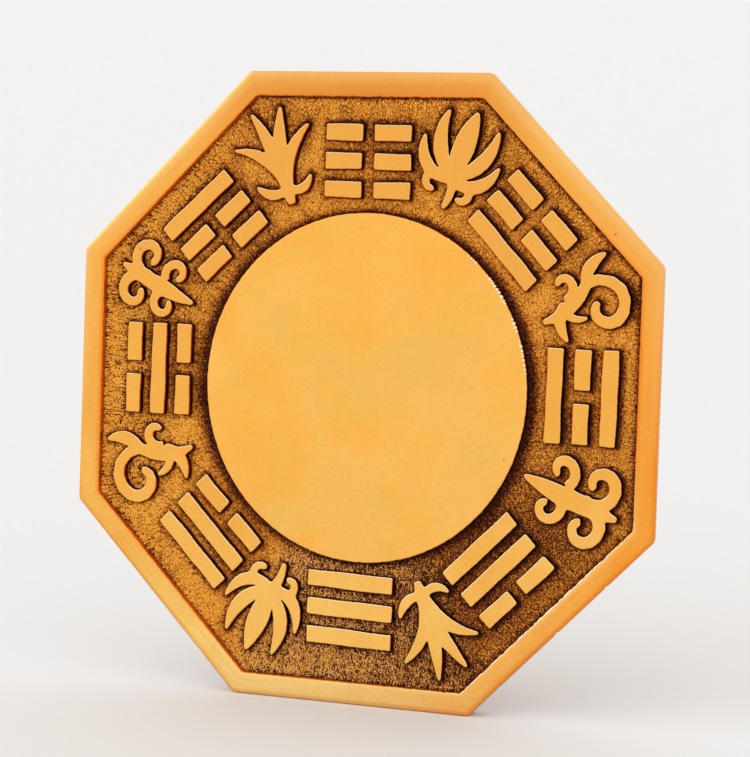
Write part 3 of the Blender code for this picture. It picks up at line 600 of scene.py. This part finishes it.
def reliefDistance(points, outline):
    # Numbers of the points near an outline, their distances |p - q| to its nearest point q and the unit
    # vectors away from it, some thousands at a time
    low, high = ends(outline)
    near = (points > low - ground["shadeSearch"]) & (points < high + ground["shadeSearch"])
    inside = np.flatnonzero(near.all(axis=1))
    distance = np.empty(len(inside))
    way = np.empty((len(inside), 2))
    for part in np.array_split(np.arange(len(inside)), 1 + len(inside) // 4000):
        gap = points[inside[part]][:, None] - outline[None]
        squares = (gap ** 2).sum(axis=2)
        nearest = squares.argmin(axis=1)
        rows = np.arange(len(part))
        distance[part] = np.sqrt(squares[rows, nearest])
        way[part] = gap[rows, nearest] / np.maximum(distance[part], 1e-7)[:, None]
    return inside, distance, way


def wallShade(distance, reach, strength):
    # strength exp(-(d / w)^p), its edge steeper where the shade is wide, p = 1.2 + 500 w
    return strength * np.exp(-((clamp(distance) / reach) ** (1.2 + 500 * reach)))


def fourWays(way, reaches):
    # The reaches to the right, up, left and down, blended by the squares of the way's two parts
    right, up, left, down = reaches
    x, y = way.T
    return x * x * np.where(x > 0, right, left) + y * y * np.where(y > 0, up, down)


def sectorPlan(direction):
    # Columns at even angles and rows at even shares of the way from the disc's edge, the larger root of
    # |r u - c| = radius, to the rim's wall, at apothem / cos(angle)
    angle = direction + np.linspace(-eighth / 2, eighth / 2, ground["columns"])
    ray = unit(angle)
    ahead = ray @ disc["centre"]
    least = disc["centre"] @ disc["centre"]
    start = ahead + np.sqrt(ahead ** 2 - least + (disc["radius"] - ground["tuck"]) ** 2)
    end = (innerAcross + ground["tuck"]) / np.cos(angle - direction)
    share = np.linspace(0, 1, ground["rows"])[:, None]
    return (ray[None] * (start + (end - start) * share)[:, :, None]).reshape(-1, 2)


def wallLight(plan, spoke, rimGap, rimWay, discGap, discWay, outlines):
    # The light left, the product of 1 - shade over the walls, the distance to the nearest wall and the unit
    # vector away from it. spoke points away from the plaque's middle.
    strength, reaches = ground["rimShade"]
    strength = strength * (1 - (1 - ground["leftRimShare"]) * clamp(rimWay[:, 0]))
    light = 1 - wallShade(rimGap, fourWays(rimWay, reaches), strength)
    strength, reaches = ground["discShade"]
    light *= 1 - wallShade(discGap, fourWays(discWay, reaches), strength)
    strength, reach = ground["innerShade"]
    light *= 1 - strength * (1 - 0.7 * spoke[:, 0] ** 4) * bell(discGap, reach)
    nearRim = rimGap < discGap
    distance = np.where(nearRim, rimGap, discGap)
    way = np.where(nearRim[:, None], rimWay, discWay)
    strength, least, mean, gain, leftGain = ground["reliefShade"]
    broadStrength, broadReach = ground["broadShade"]
    for outline in outlines:
        inside, gap, off = reliefDistance(plan, outline)
        reach = mean + gain * (off * spoke[inside]).sum(axis=1) + leftGain * clamp(-off[:, 0])
        light[inside] *= 1 - wallShade(gap, np.clip(reach, least, 1), strength)
        light[inside] *= 1 - broadStrength * np.exp(-gap / broadReach)
        closer = gap < distance[inside]
        distance[inside[closer]] = gap[closer]
        way[inside[closer]] = off[closer]
    return light, clamp(distance), way


def crackle(plan, spoke, outward, distance, way):
    # The plan bent by noise and, close to a wall, drawn out square to it, then the cells, 0 in a crack to 1,
    # the share of fine ones, which grows far out, up and to the left, and a slow noise
    bend = np.stack([valueNoise(plan, ground["bendSize"], seed) for seed in (31, 32)], axis=1) - 0.5
    pull = ground["stretch"] * ground["stretchReach"] * np.exp(-distance / ground["stretchReach"])
    bent = plan + 2 * ground["bend"] * bend + way * pull[:, None]
    coarse = crackDistance(bent, ground["cellSize"], 21)
    fine = crackDistance(bent, ground["fineCellSize"], 22)
    patches = valueNoise(plan, ground["patchSize"], 33)
    far, upper = outward / halfAcross, plan[:, 1] / halfAcross
    fineShare = 3.0 * (far - 0.76) + 1.6 * (patches - 0.45) + 1.2 * (upper - 0.25)
    fineShare = smoothStep(fineShare - 1.2 * np.clip(spoke[:, 0], -1, 0))
    width = ground["crackWidth"]
    cell = smoothStep(np.minimum(coarse, fine + 2 * width * (1 - fineShare)) / width)
    return bent, cell, fineShare, patches


def makeGroundSector(name, direction, outlines, material):
    # A grid over the sector at z = -depth + rise at walls - cracks + grain, closed by sides and an underside
    plan = sectorPlan(direction)
    rimGap, rimWay = rimDistance(plan)
    discGap, discWay = discDistance(plan)
    outward = np.hypot(plan[:, 0], plan[:, 1])
    spoke = plan / outward[:, None]
    light, distance, way = wallLight(plan, spoke, rimGap, rimWay, discGap, discWay, outlines)
    bent, cell, fineShare, patches = crackle(plan, spoke, outward, distance, way)
    rise = ground["footRise"] * np.exp(-distance / ground["footWidth"])
    grain = random.normal(0, ground["grainHeight"], len(plan))
    height = -casting["reliefDepth"] + rise + ground["cellHeight"] * (cell - 1) + grain

    # Patina and painted shade: what the shades have taken of the light, and a darker region at the lower right
    region = ground["lowerRightShade"] * clamp(spoke @ -towardsLight) ** 3 * (0.7 + 0.6 * patches)
    rosy = smoothStep((-spoke[:, 1] - 0.86) / 0.1)
    region += ground["bottomShade"] * rosy
    outwardShare = clamp(discGap / (clamp(discGap) + clamp(rimGap) + 0.0001))
    region += ground["rightShade"] * clamp(spoke[:, 0]) ** 2 * (1 - 2 * outwardShare)
    values = {"cell": cell, "patina": 1 - light * (1 - region), "region": region, "rosy": rosy,
              "fine": fineShare, "bentX": bent[:, 0], "bentY": bent[:, 1]}

    top = np.column_stack((plan, height))
    rows, columns = ground["rows"], ground["columns"]
    grid = np.arange(rows * columns).reshape(rows, columns)
    rim = np.concatenate((grid[0], grid[1:, -1], grid[-1, -2::-1], grid[-2:0:-1, 0]))
    under = top[rim].copy()
    under[:, 2] = -ground["underside"]
    below = len(top) + np.arange(len(rim))
    sides = np.stack((rim, below, np.roll(below, -1), np.roll(rim, -1)), axis=1)
    groups = [gridFaces(rows, columns, around=False)[:, ::-1], sides, below[None, ::-1]]
    values = {label: np.concatenate((column, np.ones(len(rim)))) for label, column in values.items()}
    newPiece(name, "plaque_casting", toFrame(np.vstack((top, under))), groups, [material],
             flat=(1, 2), values=values)


# Materials
class Wire:
    # A socket of a node tree. Operators on it add Math nodes, and node() adds any other node.
    def __init__(self, tree, socket=None):
        self.tree = tree
        self.socket = socket

    def fill(self, made, inputs):
        # Links each of these inputs of a node to a wire, or sets it
        for key, value in inputs.items():
            if isinstance(value, Wire):
                self.tree.links.new(value.socket, made.inputs[key])
            else:
                made.inputs[key].default_value = value

    def node(self, kind, inputs=None, output=0, stops=(), **settings):
        made = self.tree.nodes.new(kind)
        for key, value in settings.items():
            setattr(made, key, value)
        for i, (place, shade) in enumerate(stops):
            elements = made.color_ramp.elements
            element = elements[i] if i < len(elements) else elements.new(place)
            element.position = place
            element.color = shade
        self.fill(made, inputs or {})
        return Wire(self.tree, made.outputs[output] if made.outputs else None)

    def math(self, operation, *values):
        return self.node("ShaderNodeMath", dict(enumerate(values)), operation=operation)

    def __add__(self, other):
        return self.math("ADD", self, other)

    def __sub__(self, other):
        return self.math("SUBTRACT", self, other)

    def __rsub__(self, other):
        return self.math("SUBTRACT", other, self)

    def __mul__(self, other):
        return self.math("MULTIPLY", self, other)

    __radd__ = __add__
    __rmul__ = __mul__


def colour(shade):
    # Levels on screen, 0 to 255, as linear values: v / 12.92 up to 0.04045, ((v + 0.055) / 1.055)^2.4 above.
    # A number becomes a grey, and a wire or four values stay.
    if isinstance(shade, Wire) or np.size(shade) == 4:
        return shade
    if np.size(shade) == 1:
        return (shade,) * 3 + (1,)
    shares = [level / 255 for level in shade]
    return (*[v / 12.92 if v <= 0.04045 else ((v + 0.055) / 1.055) ** 2.4 for v in shares], 1.0)


noises = {  # scale, one or one for each axis, octaves, roughness and turn
    "lapClouds": (60, 3, 0.55), "dullClouds": (34, 4, 0.6), "greenClouds": (80, 3, 0.55),
    "warmClouds": (62, 3, 0.55), "lapGrain": (1100, 4, 0.6), "speckFields": (170, 1, 0.5),
    "brushed": (1, 3, 0.6), "wallStreaks": (1800, 3, 0.6),
    "scratches": ((240, 240, 4200), 5, 0.65, (0.3, 0.5, 0.2)),
    "groundClouds": (230, 3, 0.6), "flecks": (3300, 2, 0.65), "dust": (4800, 1, 0.5),
    "strokes": ((850, 2400, 1), 2, 0.6, (0, 0, 0.5)), "upright": ((2700, 1000, 1000), 2, 0.6),
    "rosyPatches": (700, 2, 0.6), "stains": (42, 6, 0.68), "castGrain": (2400, 3, 0.6),
    "backLines": ((110, 1500, 1900), 5, 0.6), "rolledLines": ((3000, 300, 300), 5, 0.6),
    "turnedLines": ((2500, 600, 600), 5, 0.6),
}
brass = {
    # Tones at the foot, the middle and the top of the plaque, a painted reflection: paler low, more orange at the
    # top
    "rim": ((255, 210, 114), (249, 179, 80), (249, 179, 82)),  # foot, middle and top
    "relief": ((254, 200, 104), (249, 180, 80), (241, 170, 76)),
    "disc": ((254, 191, 95), (255, 193, 95), (255, 186, 85)),
    "toneStops": (0.03, 0.38, 0.95),
    "toneRise": 7.7,  # of those stops, for a metre up the plaque
    "warm": (236, 150, 52),
    "dull": (238, 178, 80),
    # slow clouds on the disc, a painted reflection that mottles its polished face
    "discClouds": (("greenClouds", 0.7), ("warmClouds", 0.6)),  # and their strengths
    "greenClouds": (244, 191, 90),
    "warmClouds": (255, 181, 74),
    # Broken edges, orange to white: painted reflection and painted highlight
    "edge": (
        (0.0, (226, 88, 8)), (0.34, (244, 124, 24)), (0.58, (249, 182, 86)),
        (0.76, (254, 214, 142)), (1.0, (255, 248, 224)),
    ),
    # Walls, under the edge and at the foot: the orange is a painted reflection, darker at the foot with patina and
    # painted shade
    "rimWall": ((240, 132, 42), (210, 132, 64)),
    "reliefWall": ((224, 98, 14), (70, 32, 18)),
    # Painted reflections on the rim: under its outer part and at its top, to the right, and paler up its outer
    # part and low
    "underRim": (214, 104, 12),
    "deepRim": (250, 140, 24),
    "paleRim": (255, 226, 162),
    "speck": (200, 96, 30),
    "speckScale": 210,
    "netScale": 1600,
    "ground": (
        (0.0, (52, 22, 15)), (0.22, (88, 41, 23)), (0.48, (152, 81, 27)),
        (0.74, (212, 132, 45)), (1.0, (246, 171, 66)),
    ),
    "rosyGround": (
        (0.0, (48, 20, 14)), (0.22, (86, 42, 28)), (0.48, (144, 84, 48)),
        (0.74, (196, 128, 70)), (1.0, (240, 180, 100)),
    ),
    "strip": (228, 174, 92),
    "turned": (242, 192, 112),
    "back": (184, 128, 64),
}


def ramp(factor, stops):
    # The factor's value looked up along stops of place and colour, or place and grey
    stops = [(place, colour(shade)) for place, shade in stops]
    return factor.node("ShaderNodeValToRGB", {0: factor}, stops=stops)


def rising(factor, low, high, top=1.0):
    # 0 up to low, top from high on, and a straight line between them
    return ramp(factor, ((low, 0.0), (high, top)))


def falling(factor, low, high):
    # The other way round, from 1 to 0
    return ramp(factor, ((low, 1.0), (high, 0.0)))


def mixed(factor, first, second):
    # (1 - f) first + f second, for colours
    inputs = {0: factor, 6: colour(first), 7: colour(second)}
    return factor.node("ShaderNodeMix", inputs, output=2, data_type="RGBA")


def noise(where, kind):
    # Octaves of noise about 0.5, each twice as fine as the last and roughness times as strong
    scale, detail, roughness, *turn = noises[kind]
    if isinstance(scale, tuple):
        inputs = {"Vector": where, "Scale": scale, "Rotation": turn[0] if turn else (0, 0, 0)}
        where = where.node("ShaderNodeMapping", inputs)
        scale = 1
    inputs = {"Vector": where, "Scale": scale, "Detail": detail, "Roughness": roughness}
    return where.node("ShaderNodeTexNoise", inputs)


def attributes(wire, names):
    # Numbers kept with the points of a piece, 0 on a piece without them
    return [wire.node("ShaderNodeAttribute", output=2, attribute_name=name) for name in names.split()]


def plane(x, y):
    # The vector (x, y, 0)
    return x.node("ShaderNodeCombineXYZ", {0: x, 1: y})


def newMaterial(name):
    # A new material, its Object coordinates and its Principled shader
    material = bpy.data.materials.new(name)
    material.use_nodes = True
    tree = material.node_tree
    return material, Wire(tree).node("ShaderNodeTexCoord", output="Object"), tree.nodes["Principled BSDF"]


def fillBrass(shader, base, rough, height, strength, distance):
    bump = height.node("ShaderNodeBump", {"Height": height, "Strength": strength, "Distance": distance})
    height.fill(shader, {"Base Color": base, "Metallic": 1.0, "Roughness": rough, "Normal": bump})


def lappedBrass(name, tones, roughness, specks, wallStops, walls, clouding=()):
    # Lapped faces: a tone that changes up the plaque, a painted reflection paler low, slow clouds, fine lines from
    # the lap and rare specks, with painted reflections on the rim and painted highlights on the edges. Walls go
    # from orange under the edge, a painted reflection, to dark patina and painted shade at the foot.
    material, where, shader = newMaterial(name)
    names = "across along tint deep pale depth outward edge shine"
    across, along, tint, deep, pale, depth, outward, edge, shine = attributes(where, names)
    upward = where.node("ShaderNodeSeparateXYZ", {0: where}, output=2) * brass["toneRise"]
    clouds = noise(where, "lapClouds") - 0.5
    grain = noise(where, "lapGrain")
    cells = where.node("ShaderNodeTexVoronoi", {"Vector": where, "Scale": brass["speckScale"]})
    few = rising(noise(where, "speckFields"), 1 - specks, 1.04 - specks)
    brushed = noise(plane(across * 7, along * 55), "brushed")
    face = ramp(upward + clouds * 0.9, zip(brass["toneStops"], tones))
    for factor, tone in (
        (rising(noise(where, "dullClouds"), 0.50, 0.70, 0.25), "dull"),
        *((rising(noise(where, kind), 0.49, 0.63, strength), kind) for kind, strength in clouding),
        ((grain - 0.5) * 0.7 + 0.03, "warm"),
        (falling(cells, 0.03, 0.09) * few * 0.8, "speck"),
        (rising(brushed, 0.5, 0.8, 0.55), "warm"),
        # painted reflections on the rim
        (tint * 0.85, "underRim"), (deep, "deepRim"), (pale, "paleRim"),
    ):
        face = mixed(factor, face, brass[tone])
    streaks = noise(where, "wallStreaks") - 0.5
    # walls darken towards the foot, patina and painted shade, and where they face away from the middle, painted
    # shade
    wall = mixed(rising(depth + streaks * 0.4, *wallStops) + outward * 0.65, *walls)
    isWall = rising(depth, 0.10, 0.20)
    # broken edges take the painted highlight and reflection
    base = mixed(edge, face, ramp(shine * 0.5 + 0.5 + streaks * 0.3, brass["edge"]))
    base = mixed(isWall, base, wall)
    scratches = noise(where, "scratches")
    rough = (scratches - 0.5) * 0.12 + roughness + isWall * 0.2 - edge * 0.06 + clouds * 0.06
    fillBrass(shader, base, rough, scratches + grain * 0.6, 0.05, 0.0002)
    return material


def groundBrass():
    # Crackled ground: gold cells, dark cracks, patina and painted shade at the feet of walls, and darker low on
    # the plaque. The strokes are on the left only, and the upright streaks and rosy patches at the bottom only.
    material, where, shader = newMaterial("crackled_ground_brass")
    patina, region, rosy, cell, fine, x, y = attributes(where, "patina region rosy cell fine bentX bentY")
    bent = plane(x, y)
    leftward = rising(x * -18, 0.5, 1.0)
    flecks = noise(bent, "flecks")
    dust = noise(where, "dust")
    streaks = noise(where, "upright")
    inputs = {"Vector": bent, "Scale": brass["netScale"]}
    net = where.node("ShaderNodeTexVoronoi", inputs, feature="DISTANCE_TO_EDGE")
    dark = falling(flecks, 0.36, 0.47) * (leftward * 0.36 + 0.34)
    dark = dark + falling(net, 0.0, 0.13) * (fine * 0.18 + 0.20)
    dark = dark + falling(noise(bent, "strokes"), 0.36, 0.49) * leftward * 0.62
    dark = dark + falling(streaks, 0.36, 0.47) * rosy * 0.42
    grains = rising(dust, 0.50, 0.66) * (region + rosy * 0.3) * (1 - patina) * 2.4
    clouds = (noise(where, "groundClouds") - 0.5) * (leftward * 0.5 + 0.3)
    gold = 1.09 + leftward * 0.28 - rosy * 0.05 + clouds + grains
    gold = gold + (flecks - 0.5) * (leftward * 0.5 + rosy * 0.8 + 0.8)
    gold = gold + (dust - 0.5) * (leftward * 0.2 + rosy * 0.8 + 0.5) + (streaks - 0.5) * rosy * 1.8
    # patina and painted shade darken the gold here
    gold = gold - dark - (1 - cell) * 0.32 - patina * 0.98
    patches = ramp(noise(where, "rosyPatches"), ((0.40, 0.35), (0.60, 1.0)))
    base = mixed(rosy * patches, ramp(gold, brass["ground"]), ramp(gold, brass["rosyGround"]))
    rough = 0.58 - where.node("ShaderNodeClamp", {0: gold}) * 0.18
    fillBrass(shader, base, rough, flecks + dust * 0.4, 0.25, 0.00010)
    return material


def plainBrass(name, base, roughness, lineKind):
    # Hardware and the back: satin brass with drawing lines and faint stains
    material, where, shader = newMaterial(name)
    dark = tuple(value * 0.5 for value in colour(base)[:3]) + (1.0,)
    stain = rising(noise(where, "stains"), 0.46, 0.74, 0.42)
    grain = noise(where, "castGrain")
    lines = noise(where, lineKind)
    tone = mixed(stain, base, dark)
    tone = mixed((lines - 0.5) * 0.7 + (grain - 0.5) * 0.5 + 0.12, tone, dark)
    rough = (lines - 0.5) * 0.25 + roughness + stain * 0.15
    fillBrass(shader, tone, rough, lines + grain * 0.5, 0.16, 0.0001)
    return material


rimMaterial = lappedBrass("lapped_rim_brass", brass["rim"], 0.27, 0.42, (0.3, 0.9), brass["rimWall"])
reliefMaterial = lappedBrass(
    "lapped_relief_brass", brass["relief"], 0.27, 0.36, (0.12, 0.42), brass["reliefWall"],
)
discMaterial = lappedBrass(
    "buffed_disc_brass", brass["disc"], 0.23, 0.30, (0.15, 0.5), brass["reliefWall"],
    brass["discClouds"],
)
groundMaterial = groundBrass()
backMaterial = plainBrass("cast_back_brass", brass["back"], 0.42, "backLines")
stripMaterial = plainBrass("rolled_strip_brass", brass["strip"], 0.34, "rolledLines")
turnedMaterial = plainBrass("turned_brass", brass["turned"], 0.28, "turnedLines")
print("materials made")

# Build the front
makeCasting([rimMaterial, backMaterial])
makeDisc(discMaterial)
print("casting and disc made")

reliefNodes = sorted(node for node in frame["nodes"] if node.startswith(("trigram_", "corner_scroll_")))
outlines = [makeRelief(node, 10 * i, reliefMaterial) for i, node in enumerate(reliefNodes)]
print("relief made:", len(reliefNodes), "pieces")

for i, side in enumerate("e ne n nw w sw s se".split()):
    makeGroundSector("ground_" + side, i * eighth, outlines, groundMaterial)
print("ground made")


# Hardware on the back
hardware = {
    "edge": 0.00012,  # broken edge of the strip pieces
    "smallEdge": 0.00006,  # and of the pin and screws
    "sharpest": 35,  # a corner of fewer degrees stays smooth
    "ringWidth": 0.0124,
    "ringDrop": 0.0102,
    "ringWire": 0.0009,
    "ringBarCorner": 0.0015,
    "ringSpacing": 0.0002,
    "ringSides": 24,
}


def brokenEdges(node, material, body, width):
    # A merged copy of a CAD node, its flat parts joined up, with a bevel on its edges
    mesh = frame["nodes"][node].data.copy()
    shape = bmesh.new()
    shape.from_mesh(mesh)
    bmesh.ops.remove_doubles(shape, verts=shape.verts, dist=0.000001)
    bmesh.ops.dissolve_limit(shape, angle_limit=math.radians(0.3), verts=shape.verts, edges=shape.edges)
    sharpest = math.radians(hardware["sharpest"])
    for face in shape.faces:
        face.smooth = True
    for edge in shape.edges:
        edge.smooth = edge.calc_face_angle(0) < sharpest
    shape.to_mesh(mesh)
    shape.free()
    mesh.materials.clear()
    mesh.materials.append(material)
    piece = newObject(node + "_dressed", mesh)
    bevel = piece.modifiers.new("broken_edges", "BEVEL")
    bevel.width = width
    bevel.segments = 2
    bevel.limit_method = "ANGLE"
    bevel.angle_limit = sharpest
    bevel.harden_normals = True
    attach(piece, body)
    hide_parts(node)


def makeRing(material):
    # A circle, p + n w cos a in the path's plane and w sin a out of it, carried round a D with small arcs at
    # its bar and wide ones at its foot
    half = hardware["ringWidth"] / 2
    wire = hardware["ringWire"]
    small = hardware["ringBarCorner"]
    wide = half - wire / 4
    quarter = np.linspace(0, math.pi / 2, 40)
    low = wide - hardware["ringDrop"]
    arcs = (
        (half - small, -small, small, math.pi / 2), (half - wide, low, wide, 0),
        (wide - half, low, wide, -math.pi / 2), (small - half, -small, small, math.pi),
    )
    path = np.vstack([(x, y) + radius * unit(start - quarter) for x, y, radius, start in arcs])
    path = smoothedLoop(path, hardware["ringSpacing"], 2)
    turn = np.arange(hardware["ringSides"]) / hardware["ringSides"] * 2 * math.pi
    across = path[:, None] + inwardWay(path)[:, None] * (wire * np.cos(turn))[None, :, None]
    through = np.broadcast_to(wire * np.sin(turn), across.shape[:2])
    joint = next(joint for joint in frame["joints"] if joint["name"] == "ring_swing")
    points = np.dstack((across[:, :, 0], through, across[:, :, 1])).reshape(-1, 3) + np.array(joint["pos_m"])
    newPiece("hanging_ring_wire", "hanging_ring", points,
             [gridFaces(len(path), len(turn), closed=True)], [material], body="ring")


for node in ("hinge_leaf", "hanger_strap"):
    brokenEdges(node, stripMaterial, "plaque", hardware["edge"])
brokenEdges("strut_leg", stripMaterial, "strut", hardware["edge"])
for node in ("hinge_pin", "leaf_screw_left", "leaf_screw_right", "strap_screw_upper", "strap_screw_lower"):
    brokenEdges(node, turnedMaterial, "plaque", hardware["smallEdge"])
makeRing(turnedMaterial)
print("hardware made")

# Studio: a pale floor, a pale world, and soft suns
studio = {
    "floorSize": 24.0,
    "floorColour": (0.88, 0.87, 0.86, 1),
    "floorRoughness": 0.8,
    "worldColour": (1.0, 1.0, 1.0, 1),
    "ambient": 0.965,  # the world's strength on surfaces that scatter light
    "suns": (  # direction in the plaque's axes, width in degrees and strength
        ("left_sun", (-0.78, 0.36, 0.50), 40, 0.2),
        ("side_sun", (-0.88, 0.42, -0.20), 14, 0.08),
    ),
}


def makeStudio():
    # Camera, glossy and transmission rays see the world at a strength of 1, and all others at ambient
    half = studio["floorSize"] / 2
    corners = [(-half, -half, 0), (half, -half, 0), (half, half, 0), (-half, half, 0)]
    mesh = bpy.data.meshes.new("floor")
    mesh.from_pydata(corners, [], [(0, 1, 2, 3)])
    floor = newObject("floor", mesh)
    material, wire, shader = newMaterial("floor_paper")
    wire.fill(shader, {"Base Color": studio["floorColour"], "Roughness": studio["floorRoughness"]})
    mesh.materials.append(material)

    world = bpy.data.worlds.new("studio")
    bpy.context.scene.world = world
    world.use_nodes = True
    world.node_tree.nodes.clear()
    wire = Wire(world.node_tree)
    rays = ("Is Camera Ray", "Is Glossy Ray", "Is Transmission Ray")
    camera, glossy, clear = (wire.node("ShaderNodeLightPath", output=ray) for ray in rays)
    seen = wire.node("ShaderNodeClamp", {0: camera + glossy + clear})
    strength = seen * (1 - studio["ambient"]) + studio["ambient"]
    background = wire.node("ShaderNodeBackground", {"Color": studio["worldColour"], "Strength": strength})
    wire.node("ShaderNodeOutputWorld", {"Surface": background})

    for name, towards, width, energy in studio["suns"]:
        lamp = bpy.data.lights.new(name, "SUN")
        lamp.angle = math.radians(width)
        lamp.energy = energy
        holder = newObject(name, lamp)
        holder.rotation_euler = Vector(np.array(towards) @ plaqueAxes).to_track_quat("Z", "Y").to_euler()


makeStudio()

# Camera: fitted to the photograph, its turns and shifts given from the plaque's own axes
view = {
    "focalPixels": 2939.8,
    "longSide": 757,
    "turn": (1.92, -24.02, -2.08),
    "distance": 0.60281,
    "shiftRight": 0.00338,
    "shiftUp": 0.00221,
}


def makeCamera():
    # The inverse of how the camera sees the plaque: turned about x, y and z, and set off by its shifts
    lens = bpy.data.cameras.new("camera")
    lens.sensor_width = 36
    lens.lens = view["focalPixels"] * lens.sensor_width / view["longSide"]
    lens.clip_start = 0.01
    holder = newObject("camera", lens)
    x, y, z = (math.radians(value) for value in view["turn"])
    turn = Matrix.Rotation(x, 4, "X") @ Matrix.Rotation(y, 4, "Y") @ Matrix.Rotation(z, 4, "Z")
    seen = Matrix.Translation((-view["shiftRight"], -view["shiftUp"], -view["distance"])) @ turn
    plaque = Matrix.Translation(toFrame(np.zeros(3))) @ Matrix(plaqueAxes.T.tolist()).to_4x4()
    holder.matrix_world = plaque @ seen.inverted()
    bpy.context.scene.camera = holder


makeCamera()
bpy.context.scene.view_settings.view_transform = "Standard"
print("studio and camera made")
